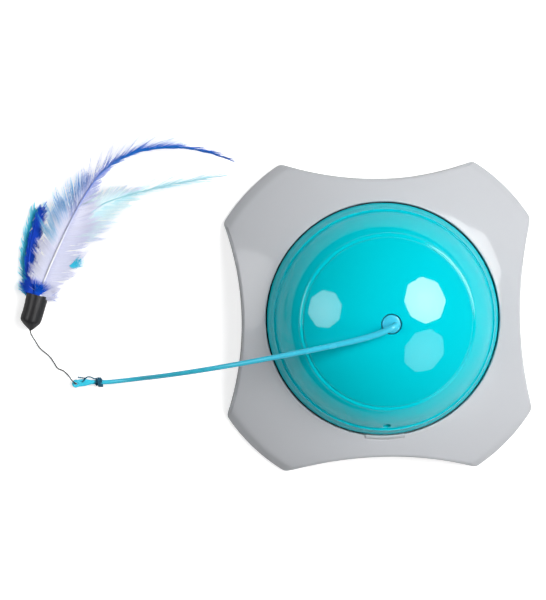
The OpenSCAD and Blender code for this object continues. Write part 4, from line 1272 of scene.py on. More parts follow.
    def cut_window(self, piece: bpy.types.Object) -> bpy.types.Object:
        """Cuts the receiver's hole into the dome.

        Args:
            piece: The dome.

        Returns:
            The dome with its hole, as a plain mesh.
        """
        r, z, face = self.window
        sides = self.window_sides
        turns = [i * math.tau / sides for i in range(sides)]
        ring = [(r * math.cos(turn), r * math.sin(turn)) for turn in turns]
        rings = [[(a, -y, z + b) for a, b in ring] for y in (face - 6.0, self.flange_r + 4.0)]
        tool = link_piece("window_tool", solid_mesh("window_tool", *capped(rings)), None)
        cut = piece.modifiers.new("window", "BOOLEAN")
        cut.operation = "DIFFERENCE"
        cut.solver = "EXACT"
        cut.object = tool
        result = baked(piece)
        bpy.data.objects.remove(tool)
        soften(result.data, self.crease)
        return result

    def bosses(self) -> list[Band]:
        """Gives the screw bosses under the dome."""
        reach, x, z = self.shoulder
        reach -= self.wall / 2
        return screw_bosses(self.boss, self.boss_at, lambda r: z + math.sqrt(reach ** 2 - (r - x) ** 2))

    def build_shell(self) -> None:
        """Builds the dome itself."""
        shell = revolve(self.outside() + self.inside(), self.turns)
        mesh = solid_mesh("dome_top", *joined(shell, *self.bosses()), self.crease)
        piece = link_piece("dome_top", mesh, self.book.get(Finishes.DOME))
        settle(self.cut_window(piece), Body.HOUSING, "dome_turquoise", "dome_cover")

    def build_lens(self) -> None:
        """Builds the slightly domed lens in the receiver's hole."""
        r, z, face = self.window
        r -= 0.03
        profile = [(0.0, face + 0.25), (r * 0.4, face + 0.22), (r * 0.75, face + 0.1),
                   (r * 0.92, face - 0.02), (r, face - 0.15), (r, face - 2.2), (0.0, face - 2.2)]
        rings = [[(x, -h, z + y) for x, y, h in ring] for ring in revolve(profile, self.lens_turns)]
        mesh = solid_mesh("receiver_lens", *joined(rings))
        settle(link_piece("receiver_lens", mesh, self.book.get(Finishes.LENS)), Body.HOUSING, "window_black",
               "receiver_window")

    def build_button(self) -> None:
        """Builds the push button in the collar, with its stem."""
        near, far, low, high, half = self.button
        inset = 0.45
        ramp = 0.8
        section: list[Flat] = [(near, low), (far, low), (far, high - 1.0)]
        for hub, start, stop in (((far - ramp - inset, high - inset), 50, 90),
                                 ((near + inset, high - inset), 90, 180)):
            section += [(hub[0] + a, hub[1] + b) for a, b in
                        (polar(inset, start + (stop - start) * i / 6) for i in range(7))]
        middle = ((near + far) / 2, (low + high) / 2)
        rings: list[Ring] = []
        steps = [(-half, 0.0), (-half, 0.8), (-half + 0.06, 0.93), (-half + 0.2, 0.985), (-half + 0.45, 1.0)]
        steps += [(-half + 0.45 + (2 * half - 0.9) * i / 24, 1.0) for i in range(1, 24)]
        steps += [(-a, s) for a, s in reversed(steps[:5])]
        for a, s in steps:
            c, d = polar(1.0, 270.0 + a)
            rings.append([((middle[0] + (r - middle[0]) * s) * c, (middle[0] + (r - middle[0]) * s) * d,
                           middle[1] + (z - middle[1]) * s) for r, z in section])
        faces = skin(rings, False)
        points = [p for ring in rings for p in ring]
        radius, foot = self.button_stem
        stem = revolve([(0.0, foot), (radius - 0.2, foot), (radius, foot + 0.2), (radius, low + 0.5),
                        (0.0, low + 0.5)], self.stem_turns, (0.0, -middle[0]))
        faces += skin(stem, True, len(points))
        points += [p for ring in stem for p in ring]
        mesh = solid_mesh("push_button", points, faces, self.button_crease)
        settle(link_piece("push_button", mesh, self.book.get(Finishes.BUTTON)), Body.BUTTON, "button_white",
               "power_button")

    def build(self) -> None:
        """Builds the dome, the lens and the button."""
        self.build_shell()
        self.build_lens()
        self.build_button()


@dataclass
class Wand:
    """Springy wand: plug, rod with its eye, and the wrap of string on it."""

    book: FinishBook
    trees: GrowTrees
    angle: float = 191.3
    reach: float = 175.5
    plug_r: float = 5.0
    plug_top: float = 63.8
    plug_low: float = 60.4
    stem_r: float = 2.5
    stem_low: float = 52.0
    root: float = 2.0
    rod_top: float = 68.8
    bend: float = 3.5
    level: float = 45.0
    level_u: float = 166.5
    eye_z: float = 2.4
    eye_r: float = 2.3
    eye_hole: float = 0.55
    wrap_floor: float = 0.55
    wrap_pitch: float = 0.95
    wrap_steps: int = 24
    wrap_twist: Twist = Twist(0.00024, 0.00018, 0.0022, 0.00014)
    rod_sides: int = 20
    plug_turns: int = 64
    collar_turns: int = 32
    eye_turns: int = 36
    bend_steps: int = 14
    bow_steps: int = 60
    level_steps: int = 20
    crease: float = 50.0
    plug_crease: float = 40.0
    taper: tuple[float, ...] = (1.8, 1.58, 1.45, 1.38, 1.3, 1.22)
    sway: tuple[Flat, ...] = ((-2.0, 1.0), (0.0, 1.3), (5.0, 2.4), (10.0, 3.2), (20.0, 3.9), (40.0, 4.2),
                              (70.0, 4.3), (110.0, 4.4), (138.0, 4.2), (151.0, 3.6), (158.0, 2.9),
                              (164.0, 1.7), (169.0, 0.6), (175.5, 0.0))

    def place(self, u: float, v: float, z: float) -> Point:
        """Turns a point of the wand's upright plane into its place."""
        c, s = polar(1.0, self.angle)
        return u * c - v * s, u * s + v * c, z

    def swayed(self, u: float) -> float:
        """Gives how far the bent rod lies beside its upright plane."""
        if u <= self.sway[0][0]:
            return self.sway[0][1]
        line = through([(a, b, 0.0) for a, b in self.sway], 6)
        for a, b in zip(line, line[1:]):
            if u <= b[0]:
                return a[1] + (b[1] - a[1]) * (u - a[0]) / (b[0] - a[0])
        return 0.0

    def centre_line(self) -> list[Flat]:
        """Gives the rod's line as distance and height."""
        bend_u = self.bend - self.root
        drop, run = self.rod_top - self.eye_z, self.level_u - bend_u
        slope = 2 * math.degrees(math.atan(drop / run))
        arc = run / math.sin(math.radians(slope)) - self.level
        line: list[Flat] = [(-self.root, self.plug_top - 3.0), (-self.root, self.plug_top)]
        for i in range(self.bend_steps + 1):
            c, s = polar(self.bend, 180 - 90 * i / self.bend_steps)
            line.append((bend_u + c, self.rod_top - self.bend + s))
        for i in range(1, self.bow_steps + 1):
            c, s = polar(arc, 90 - slope * i / self.bow_steps)
            line.append((bend_u + c, self.rod_top - arc + s))
        for i in range(1, self.level_steps + 1):
            c, s = polar(self.level, 270 - slope + slope * i / self.level_steps)
            line.append((self.level_u + c, self.eye_z + self.level + s))
        return line

    def build_rod(self) -> None:
        """Builds the rod and its flattened eye."""
        line = self.centre_line()
        route = [self.place(u, self.swayed(u), z) for u, z in line]
        girth = [along(self.taper, u / self.level_u) * MM for u, _ in line]
        rod = self.trees.grow("rod_part", line_mesh("rod_part", [route], girth=girth), self.trees.tube,
                              Sides=self.rod_sides, Material=self.book.get(Finishes.WAND))
        work = bmesh.new()
        work.from_mesh(rod.data)
        bpy.data.objects.remove(rod)
        eye = self.eye_mesh()
        work.from_mesh(eye)
        bpy.data.meshes.remove(eye)
        mesh = bpy.data.meshes.new("wand_stem")
        work.to_mesh(mesh)
        work.free()
        soften(mesh, self.crease)
        settle(link_piece("wand_stem", mesh, self.book.get(Finishes.WAND)), Body.WAND, "wand_blue",
               "wand_rod")

    def eye_mesh(self) -> bpy.types.Mesh:
        """Gives the paddle that the rod ends in, with the hole for the string."""
        neck: list[Ring] = []
        stations = ((self.level_u - 1.2, 1.24, 1.24), (self.level_u + 0.4, 1.32, 1.22),
                    (self.level_u + 1.8, 1.6, 1.12),
                    (self.level_u + 3.4, 1.95, 1.0), (self.level_u + 5.6, 2.1, 0.98),
                    (self.level_u + 8.2, 2.0, 0.95))
        for u, wide, thick in stations:
            lift = max(self.level_u - u, 0.0) ** 2 / (2 * self.level)
            ring = []
            for k in range(self.rod_sides):
                c, s = polar(1.0, 360 * k / self.rod_sides)
                power = 1.0 if u < self.level_u + 1.0 else 0.75
                ring.append(self.place(u, self.swayed(u) + wide * math.copysign(abs(c) ** power, c),
                                       self.eye_z + lift + thick * math.copysign(abs(s) ** power, s)))
            neck.append(ring)
        points, faces = capped(neck)
        mid, half = (self.eye_r + self.eye_hole) / 2, (self.eye_r - self.eye_hole) / 2
        tube = [(mid + half * math.copysign(abs(c) ** 0.7, c),
                 self.eye_z + 1.0 * math.copysign(abs(s) ** 0.7, s))
                for c, s in (polar(1.0, 22.5 * k) for k in range(16))]
        loop = revolve(tube, self.eye_turns, self.place(self.reach, 0.0, 0.0)[:2])
        faces += skin(loop, True, len(points))
        points += [p for ring in loop for p in ring]
        return solid_mesh("wand_eye", points, faces, self.crease)

    def build_plug(self) -> None:
        """Builds the plug that sits in the spindle's cup."""
        r, top = self.plug_r, self.plug_top
        profile = [(0.0, top), (r * 0.5, top), (r - 0.7, top - 0.03), (r - 0.35, top - 0.12),
                   (r - 0.1, top - 0.35),
                   (r, top - 0.7), (r, self.plug_low + 0.2), (r - 0.2, self.plug_low),
                   (self.stem_r, self.plug_low),
                   (self.stem_r, self.stem_low + 0.5), (self.stem_r - 0.5, self.stem_low),
                   (0.0, self.stem_low)]
        collar = [(1.4, top - 0.4), (2.05, top - 0.4), (2.05, top + 0.05), (1.9, top + 0.25),
                  (1.65, top + 0.3), (1.4, top + 0.22)]
        rod_foot = self.place(-self.root, self.swayed(-self.root), 0.0)[:2]
        bands = (revolve(profile, self.plug_turns), revolve(collar, self.collar_turns, rod_foot))
        mesh = solid_mesh("plug_head", *joined(*bands), self.plug_crease)
        settle(link_piece("plug_head", mesh, self.book.get(Finishes.WAND)), Body.WAND, "wand_blue",
               "wand_plug")

    def on_rod(self, back: float, degrees: float, radius: float) -> Point:
        """Gives a point round the rod's last curve.

        Args:
            back: Distance before the eye's start, along the rod.
            degrees: Angle round the rod, from its top.
            radius: Distance from the rod's axis.

        Returns:
            The point.
        """
        a = back / self.level
        out, side = polar(radius, degrees)
        u = self.level_u - self.level * math.sin(a)
        height = self.eye_z + (self.level * (1 - math.cos(a)) if back > 0 else 0.0)
        return self.place(u + out * math.sin(a), self.swayed(u) + side,
                          max(height + out * math.cos(a), self.wrap_floor))

    def build_wrap(self) -> None:
        """Builds the wrap of string, with its loop and its loose tail."""
        pitch, steps = self.wrap_pitch, self.wrap_steps
        step = 360.0 / steps
        coil = [self.on_rod(1.9 + pitch * t / steps, step * t, 1.86) for t in range(4 * steps + 1)]
        second = [self.on_rod(5.4 - pitch * t / steps, step * t + 40.0, 2.55) for t in range(2 * steps + 13)]
        loop = [self.on_rod(3.2, -70.0, 2.5), self.on_rod(1.9, -52.0, 2.75), self.on_rod(0.2, -62.0, 3.4),
                self.on_rod(-1.8, -70.0, 3.3), self.on_rod(-3.4, -62.0, 2.5), self.on_rod(-4.6, -38.0, 1.75),
                self.on_rod(-5.4, -20.0, 1.7)]
        tail = [self.on_rod(-2.8, -78.0, 2.2), self.on_rod(-4.2, -88.0, 2.6), self.on_rod(-5.8, -92.0, 3.1),
                self.on_rod(-7.2, -90.0, 3.5)]
        lines = [coil, second, through(loop, 8), through(tail, 8)]
        wrap = self.trees.spin("string_wrap", lines, self.wrap_twist, self.book.get(Finishes.WRAP))
        settle(wrap, Body.WAND, "knot_blue", "wand_knot")

    def build(self) -> None:
        """Builds the plug, the rod and the wrap."""
        self.build_plug()
        self.build_rod()
        self.build_wrap()


@dataclass(frozen=True)
class BarbRow:
    """One run of barbs along a side of a shaft; lists hold values along the run."""

    side: Side
    start: float
    stop: float
    count: int
    reach: tuple[float, ...]
    splay: tuple[float, ...]
    root: tuple[Colour, ...]
    tip: tuple[Colour, ...]
    curl: float = 20.0
    clump: int = 14
    pull: float = 0.45
    ragged: float = 0.16
    girth: float = 0.16
    lift: float = 0.0


@dataclass(frozen=True)
class Tuft:
    """A loose tuft of down: where it is rooted, which way it fans out and its colours."""

    at: Point
    heading: float
    spread: float
    reach: float
    count: int
    root: Colour
    tip: Colour
    girth: float = 0.14
    lift: float = 0.0


@dataclass(frozen=True)
class Plume:
    """One feather: the curve of its shaft, its rows of barbs and its loose tufts."""

    piece: str
    node: str
    slot: str
    finish: Finish
    seat: Flat
    curve: tuple[Flat, ...]
    tip_z: float
    quill: tuple[Colour, ...]
    quill_r: tuple[float, ...]
    rows: tuple[BarbRow, ...]
    tufts: tuple[Tuft, ...]
    seed: int


def along(values: tuple, share: float) -> float | Colour:
    """Reads a list of numbers or colours at a share of its length.

    Args:
        values: Numbers or colours, evenly spaced.
        share: From 0 to 1.

    Returns:
        The value between its neighbours.
    """
    if len(values) == 1:
        return values[0]
    at = min(max(share, 0.0), 1.0) * (len(values) - 1)
    i = min(int(at), len(values) - 2)
    a, b = values[i], values[i + 1]
    if isinstance(a, tuple):
        return tuple(x + (y - x) * (at - i) for x, y in zip(a, b))
    return a + (b - a) * (at - i)


class Shaft:
    """Curve of a feather's shaft, read by its share of length."""

    def __init__(self, points: list[Flat], low: float, high: float) -> None:
        """Runs the curve through points, rising evenly from one height to the other."""
        self.line = through([(x, y, 0.0) for x, y in points], 14)
        self.marks = [0.0]
        for a, b in zip(self.line, self.line[1:]):
            self.marks.append(self.marks[-1] + math.hypot(b[0] - a[0], b[1] - a[1]))
        self.low, self.high = low, high

    def at(self, share: float) -> tuple[Point, float]:
        """Gives a point of the shaft and its heading there, in degrees."""
        goal = min(max(share, 0.0), 1.0) * self.marks[-1]
        i = next(k for k in range(1, len(self.marks)) if self.marks[k] >= goal or k == len(self.marks) - 1)
        a, b = self.line[i - 1], self.line[i]
        t = (goal - self.marks[i - 1]) / max(self.marks[i] - self.marks[i - 1], 1e-9)
        spot = (a[0] + (b[0] - a[0]) * t, a[1] + (b[1] - a[1]) * t, self.low + (self.high - self.low) * share)
        return spot, math.degrees(math.atan2(b[1] - a[1], b[0] - a[0]))


@dataclass
class BarbBed:
    """Lines that grow into barbs, with the values that their points carry."""

    lines: list[list[Point]] = field(default_factory=list)
    girth: list[float] = field(default_factory=list)
    luck: list[float] = field(default_factory=list)
    stem: list[float] = field(default_factory=list)
    dye: list[float] = field(default_factory=list)

    def lay(self, line: list[Point], girth: tuple[float, ...], own: float, dyes: tuple[Colour, ...],
            tone: float, stem: bool = False) -> None:
        """Adds a line.

        Args:
            line: Its points.
            girth: Half widths along it, in millimetres.
            own: The line's own chance.
            dyes: Colours along it.
            tone: Factor on the colours.
            stem: Whether the line is the shaft itself.
        """
        self.lines.append(line)
        for k in range(len(line)):
            share = k / (len(line) - 1)
            self.girth.append(along(girth, share) * MM)
            self.luck.append(own)
            self.stem.append(1.0 if stem else 0.0)
            self.dye += [min(c * tone, 1.0) for c in along(dyes, share)] + [1.0]

    def mesh(self, name: str) -> bpy.types.Mesh:
        """Gives the lines as a mesh that carries their values."""
        mesh = line_mesh(name, self.lines, girth=self.girth, chance=self.luck, stem=self.stem)
        mesh.attributes.new("dye", "FLOAT_COLOR", "POINT").data.foreach_set("color", self.dye)
        return mesh


LAVENDER: Colour = (0.68, 0.70, 0.88)
PALE: Colour = (0.80, 0.81, 0.95)
SHAFT_WHITE: Colour = (0.97, 0.97, 1.0)
PERIWINKLE: Colour = (0.24, 0.33, 0.80)
SLATE_BLUE: Colour = (0.13, 0.20, 0.55)
SKY: Colour = (0.07, 0.42, 0.82)
CYAN_TIP: Colour = (0.07, 0.53, 0.78)
INDIGO: Colour = (0.005, 0.10, 0.52)
DEEP_BLUE: Colour = (0.0, 0.16, 0.63)
PALE_AQUA: Colour = (0.80, 0.96, 1.0)
AQUA: Colour = (0.46, 0.82, 0.90)
ROYAL: Colour = (0.0, 0.065, 0.66)
BRIGHT_ROYAL: Colour = (0.0, 0.13, 0.76)
TURQUOISE: Colour = (0.02, 0.56, 0.80)
LIGHT_CYAN: Colour = (0.22, 0.80, 0.96)


@dataclass
class Lure:
    """Feather lure: string, rubber sleeve and four feathers."""

    book: FinishBook
    trees: GrowTrees
    tip: Flat = (-197.6, -3.2)
    angle: float = 74.4
    axis_z: float = 5.8
    mouth: float = 20.5
    quill_in: float = 2.0
    quill_lift: float = 0.45
    barb_flatness: float = 0.3
    tip_lean: float = -0.9
    string_r: float = 0.4
    eye: Flat = (-172.098, -34.389)
    twist: Twist = Twist(0.00022, 0.00018, 0.0024, 0.00016)
    sleeve_sides: int = 64
    sleeve_crease: float = 32.0
    quill_steps: int = 70
    clump_turn: float = 4.0
    clump_rise: float = 0.4
    barb_turn: float = 2.5
    barb_rise: float = 0.15
    barb_short: float = 1.6
    pull_power: float = 1.6
    barb_tone: float = 0.07
    tuft_turn: float = 0.45
    tuft_root: float = 0.5
    tuft_bend: float = 14.0
    tuft_rise: float = 0.4
    tuft_tone: float = 0.08

    def on_axis(self, distance: float, across: float = 0.0) -> Flat:
        """Gives a point beside the sleeve's axis, seen from above."""
        c, s = polar(1.0, self.angle)
        return self.tip[0] + distance * c - across * s, self.tip[1] + distance * s + across * c

    def build_string(self) -> None:
        """Builds the laid string from the wand's eye to the sleeve."""
        low = 0.5
        x, y = self.eye
        end = self.on_axis(-0.1, self.tip_lean)
        stops: list[Point] = [
            (x, y, 1.4), (x, y, 2.2), (x, y, 3.2), (-172.28, -34.19, 4.2), (-172.79, -33.66, 4.93),
            (-173.47, -32.94, 5.2), (-174.16, -32.21, 4.93), (-174.67, -31.68, 4.2), (-175.14, -31.18, 3.0),
            (-175.62, -30.68, 1.8), (-176.02, -30.26, 1.11), (-176.56, -29.69, 0.66), (-177.17, -29.04, low),
            (-178.1, -28.1, low), (-178.95, -27.35, low), (-180.0, -26.75, low), (-181.2, -26.3, low),
            (-182.2, -25.7, low), (-183.0, -24.75, low), (-183.8, -23.4, low), (-184.8, -21.7, low),
            (-185.8, -20.1, low), (-186.9, -18.7, low), (-188.3, -17.4, low), (-190.0, -15.95, low),
            (-191.5, -14.6, low), (-192.6, -13.3, low), (-193.4, -11.8, 0.95), (-194.3, -10.0, 2.0),
            (-195.3, -8.1, 3.4), (-196.1, -6.4, 4.65), (-196.6, -4.95, 5.45), (end[0], end[1], self.axis_z)]
        fine = through(stops, 8)
        string = self.trees.spin("lure_thread", [fine], self.twist, self.book.get(Finishes.STRING))
        settle(string, Body.LURE, "string_grey", "lure_string")

    def build_sleeve(self) -> None:
        """Builds the rubber sleeve with its pinched point and open mouth."""
        stations = ((0.0, 0.55, 1.25), (0.5, 1.2, 1.25), (1.6, 2.6, 1.3), (3.0, 4.1, 1.4), (4.2, 5.2, 1.6),
                    (4.9, 5.6, 1.8), (5.6, 5.75, 1.95), (7.0, 5.8, 2.0), (10.0, 5.75, 2.0), (14.0, 5.8, 2.0),
                    (18.0, 5.95, 2.0), (19.6, 6.0, 2.0), (20.2, 5.98, 2.0), (20.5, 5.75, 2.0),
                    (20.4, 5.3, 2.0), (20.0, 5.1, 2.0), (18.4, 5.0, 2.0), (18.3, 4.4, 2.0))
        sides = self.sleeve_sides
        rings: Band = []
        for d, r, power in stations:
            ring = []
            lean = 0.35 * math.exp(-((d - 5.0) / 3.5) ** 2) + self.tip_lean * math.exp(-(d / 2.2) ** 2)
            for k in range(sides):
                c, s = polar(1.0, 360.0 * k / sides)
                reach = r / (abs(c) ** power + abs(s) ** power) ** (1 / power)
                crease = 1.0 + (0.02 * math.cos(math.radians(1440.0 * k / sides)) if 6.0 < d < 19.0 else 0.0)
                x, y = self.on_axis(d, reach * c * crease + lean)
                ring.append((x, y, self.axis_z + reach * s * crease * min(1.0, (self.axis_z - 0.1) / r)))
            rings.append(ring)
        mesh = solid_mesh("lure_sleeve", *capped(rings), self.sleeve_crease)
        settle(link_piece("lure_sleeve", mesh, self.book.get(Finishes.SLEEVE)), Body.LURE, "cap_black",
               "lure_cap")

    @staticmethod
    def strand(start: Point, heading: float, bend: float, length: float, rise: float) -> list[Point]:
        """Gives the line of one barb.

        Args:
            start: Its root.
            heading: Its way at the root, seen from above, in degrees.
            bend: Degrees that it turns along its length.
            length: Its length.
            rise: Height that its tip gains.

        Returns:
            Points from the root outwards, above the floor.
        """
        steps = 5
        x, y, z = start
        line = [start]
        for i in range(steps):
            dx, dy = polar(length / steps, heading + bend * (i + 0.5) / steps)
            x, y = x + dx, y + dy
            share = (i + 1) / steps
            line.append((x, y, max(z + rise * share * share, 0.3)))
        return line

    def lay_row(self, bed: BarbBed, shaft: Shaft, row: BarbRow, chance: random.Random) -> None:
        """Lays a row of barbs, drawn together in clumps.

        Args:
            bed: Bed that they are laid in.
            shaft: Their shaft.
            row: The row.
            chance: Source of chance with a fixed seed.
        """
        def barb(share: float, turn: float, stretch: float, rise: float) -> list[Point]:
            """Gives one barb of the row."""
            (x, y, z), way = shaft.at(row.start + (row.stop - row.start) * share)
            side = row.side.value
            return self.strand((x, y, z - 0.3), way + side * (along(row.splay, share) + turn),
                               -side * row.curl, along(row.reach, share) * stretch, rise)

        group = -1
        for i in range(row.count):
            if i // row.clump != group:
                group = i // row.clump
                turn = chance.gauss(0.0, self.clump_turn)
                stretch = 1.0 + chance.uniform(-row.ragged, row.ragged)
                rise = row.lift + chance.uniform(-self.clump_rise, self.clump_rise)
                lead = barb(min((group + 0.5) * row.clump / row.count, 1.0), turn, stretch, rise)
            share = (i + chance.random()) / row.count
            own = barb(share, turn + chance.gauss(0.0, self.barb_turn),
                       stretch * (1.0 - chance.random() ** 2 * row.ragged * self.barb_short),
                       rise + chance.gauss(0.0, self.barb_rise))
            last = len(own) - 1
            root, tip = along(row.root, share), along(row.tip, share)
            half = tuple(Vector(root).lerp(Vector(tip), 0.5))
            line = [tuple(Vector(p).lerp(Vector(q), row.pull * (k / last) ** self.pull_power))
                    for k, (p, q) in enumerate(zip(own, lead))]
            bed.lay(line, (row.girth, row.girth * 0.8, row.girth * 0.5, row.girth * 0.12), chance.random(),
                    (root, root, half, tip, tip), 1.0 + chance.uniform(-self.barb_tone, self.barb_tone))

    def lay_tuft(self, bed: BarbBed, tuft: Tuft, chance: random.Random) -> None:
        """Lays a loose tuft.

        Args:
            bed: Bed that it is laid in.
            tuft: The tuft.
            chance: Source of chance with a fixed seed.
        """
        for _ in range(tuft.count):
            x, y, z = tuft.at
            turn = chance.gauss(0.0, self.tuft_turn) * tuft.spread
            root = (x + chance.gauss(0.0, self.tuft_root), y + chance.gauss(0.0, self.tuft_root), z)
            line = self.strand(root, tuft.heading + turn, chance.gauss(0.0, self.tuft_bend),
                               tuft.reach * chance.uniform(0.55, 1.0),
                               tuft.lift + chance.gauss(0.0, self.tuft_rise))
            bed.lay(line, (tuft.girth, tuft.girth * 0.8, tuft.girth * 0.15), chance.random(),
                    (tuft.root, tuft.tip), 1.0 + chance.uniform(-self.tuft_tone, self.tuft_tone))

    def build_feather(self, plume: Plume) -> None:
        """Builds one feather from its shaft, barbs and tufts.

        Args:
            plume: The feather.
        """
        chance = random.Random(plume.seed)
        base = self.axis_z + plume.seat[1]
        shaft = Shaft([self.on_axis(self.mouth + 1.5, plume.seat[0]), *plume.curve], base, plume.tip_z)
        bed = BarbBed()
        for row in plume.rows:
            self.lay_row(bed, shaft, row, chance)
        for tuft in plume.tufts:
            self.lay_tuft(bed, tuft, chance)
        stem = self.on_axis(self.mouth - self.quill_in, plume.seat[0])
        shares = [i / self.quill_steps for i in range(self.quill_steps + 1)]
        route = [(stem[0], stem[1], base)] + [shaft.at(share)[0] for share in shares]
        bed.lay([(x, y, z + self.quill_lift) for x, y, z in route], plume.quill_r, 0.2, plume.quill, 1.0,
                True)
        piece = self.trees.grow(plume.piece, bed.mesh(plume.piece), self.trees.barbs,
                                Flatness=self.barb_flatness, Material=self.book.get(plume.finish))
        settle(piece, Body.LURE, plume.slot, plume.node)

    @staticmethod
    def white_plume() -> Plume:
        """Gives the long feather: downy white below, narrow and blue above."""
        outer, inner = Side.OUTER, Side.INNER
        down = (LAVENDER,)
        snow = (PALE, LAVENDER, PALE)
        return Plume(
            "white_plume", "white_feather", "feather_white", Finishes.WHITE, (-1.6, 2.6),
            ((-187.0, 26.9), (-177.7, 46.9), (-166.6, 67.9), (-154.5, 84.3), (-137.0, 94.5), (-115.9, 97.7),
             (-97.0, 95.1), (-81.1, 89.3)), 6.0,
            (SHAFT_WHITE, SHAFT_WHITE, PERIWINKLE, DEEP_BLUE, DEEP_BLUE, INDIGO),
            (0.5, 0.46, 0.4, 0.34, 0.26, 0.12),
            (BarbRow(outer, 0.0, 0.30, 420, (7, 9.5, 12.5, 14, 13), (76, 70, 64), down, down, 12, 10, 0.1,
                     0.15, 0.34, -1.2),
             BarbRow(outer, 0.0, 0.29, 1000, (9, 12.5, 15, 16, 16), (76, 68, 62, 56), snow, (PALE,), 16, 19,
                     0.2, 0.2, 0.12, -0.2),
             BarbRow(outer, 0.16, 0.42, 560, (19, 21, 20, 17, 11), (58, 50, 40, 28),
                     (PALE, LAVENDER, LAVENDER),
                     (CYAN_TIP, SKY, SKY, PERIWINKLE), 6, 6, 0.3, 0.3, 0.1, 0.2),
             BarbRow(outer, 0.36, 0.62, 260, (9, 9, 8, 6), (22, 17, 12), (LAVENDER, PERIWINKLE, DEEP_BLUE),
                     (LAVENDER, PERIWINKLE, DEEP_BLUE), 3, 6, 0.3, 0.35, 0.08, 0.4),
             BarbRow(outer, 0.28, 0.75, 150, (24, 26, 24, 20), (36, 26, 19, 14), (SLATE_BLUE, INDIGO),
                     (SLATE_BLUE, SLATE_BLUE, SKY), 8, 2, 0.2, 0.45, 0.09, 0.8),
             BarbRow(outer, 0.50, 0.97, 560, (9, 10, 9, 5), (13, 10, 6), (DEEP_BLUE,),
                     (DEEP_BLUE, BRIGHT_ROYAL, INDIGO), 4, 8, 0.25, 0.3, 0.1, 0.2),
             BarbRow(inner, 0.0, 0.33, 340, (10, 14, 16, 16, 14, 11), (80, 72, 62), down, down, 14, 12, 0.15,
                     0.2, 0.34, -1.2),
             BarbRow(inner, 0.0, 0.34, 1000, (11, 16, 19, 19, 17, 14), (80, 70, 62, 52), snow, snow, 18, 33,
                     0.35, 0.2, 0.12, -0.6),
             BarbRow(inner, 0.32, 0.50, 260, (13, 11, 8, 6), (46, 34, 24), (LAVENDER, PERIWINKLE),
                     (LAVENDER, PERIWINKLE), 10, 18, 0.4, 0.25, 0.1, -0.6),
             BarbRow(inner, 0.44, 0.68, 160, (7, 7, 6), (22, 15, 11), (PERIWINKLE, DEEP_BLUE),
                     (LAVENDER, PERIWINKLE), 4, 8, 0.4, 0.4, 0.07, -0.3),
             BarbRow(inner, 0.52, 0.98, 460, (9, 9, 8, 5), (9, 6, 4), (DEEP_BLUE,),
                     (DEEP_BLUE, DEEP_BLUE, INDIGO), 3, 8, 0.3, 0.3, 0.1, -0.2)),
            (Tuft((-188.6, 15.0, 8.6), 62.0, 70.0, 11.0, 150, LAVENDER, PALE, 0.14, 0.0),
             Tuft((-187.8, 14.4, 7.2), 24.0, 60.0, 9.0, 130, PALE, LAVENDER, 0.12, -1.0),
             Tuft((-187.6, 14.4, 8.0), 12.0, 50.0, 10.0, 30, LAVENDER, PERIWINKLE, 0.1, -1.5)),
            11)

    @staticmethod
    def aqua_plume() -> Plume:
        """Gives the pale aqua feather, whose vane shows past the white one."""
        outer, inner = Side.OUTER, Side.INNER
        down = (PALE_AQUA,)
        return Plume(
            "aqua_plume", "aqua_feather", "feather_aqua", Finishes.AQUA, (-2.4, 0.4),
            ((-173.4, 49.0), (-159.1, 63.5), (-147.0, 69.3), (-125.3, 75.0), (-102.8, 79.1), (-84.8, 81.6)),
            3.6, (PALE_AQUA, AQUA, AQUA, AQUA), (0.45, 0.4, 0.32, 0.16),
            (BarbRow(outer, 0.26, 0.56, 240, (11, 14, 13, 8), (50, 38, 25, 14), down, down, 8, 12, 0.1, 0.15,
                     0.34, -0.8),
             BarbRow(outer, 0.26, 0.58, 520, (13, 17, 16, 10), (50, 38, 25, 14), (PALE_AQUA, PALE_AQUA, AQUA),
                     (PALE_AQUA, PALE), 8, 20, 0.18, 0.12, 0.12, 0.1),
             BarbRow(inner, 0.24, 0.54, 280, (18, 18, 15, 9), (62, 48, 34, 18), down, down, 12, 12, 0.1,
                     0.15, 0.34, -1.2),
             BarbRow(inner, 0.24, 0.56, 640, (22, 22, 18, 10), (62, 48, 34, 18), (PALE_AQUA, AQUA),
                     (LAVENDER, PALE_AQUA, PALE_AQUA), 12, 26, 0.32, 0.22, 0.12, -0.6),
             BarbRow(inner, 0.52, 0.90, 150, (13, 11, 8), (14, 10, 7), (AQUA,), (PALE_AQUA, AQUA), 6, 10,
                     0.4, 0.3, 0.08, -0.3),
             BarbRow(outer, 0.54, 0.92, 150, (13, 11, 8), (12, 9, 6), (AQUA,), (PALE_AQUA, AQUA), 5, 10, 0.4,
                     0.3, 0.08, 0.2),
             BarbRow(inner, 0.50, 0.84, 16, (26, 30, 28), (24, 17, 11), (AQUA,), (AQUA, CYAN_TIP), 6, 2, 0.2,
                     0.3, 0.15, -0.4),
             BarbRow(outer, 0.55, 0.94, 26, (28, 26, 20), (20, 14, 9), (AQUA,), (AQUA, SLATE_BLUE), 5, 2,
                     0.2, 0.3, 0.13, 0.2)),
            (Tuft((-172.8, 32.0, 8.0), 22.0, 40.0, 8.8, 90, TURQUOISE, TURQUOISE, 0.12, 0.0),), 23)

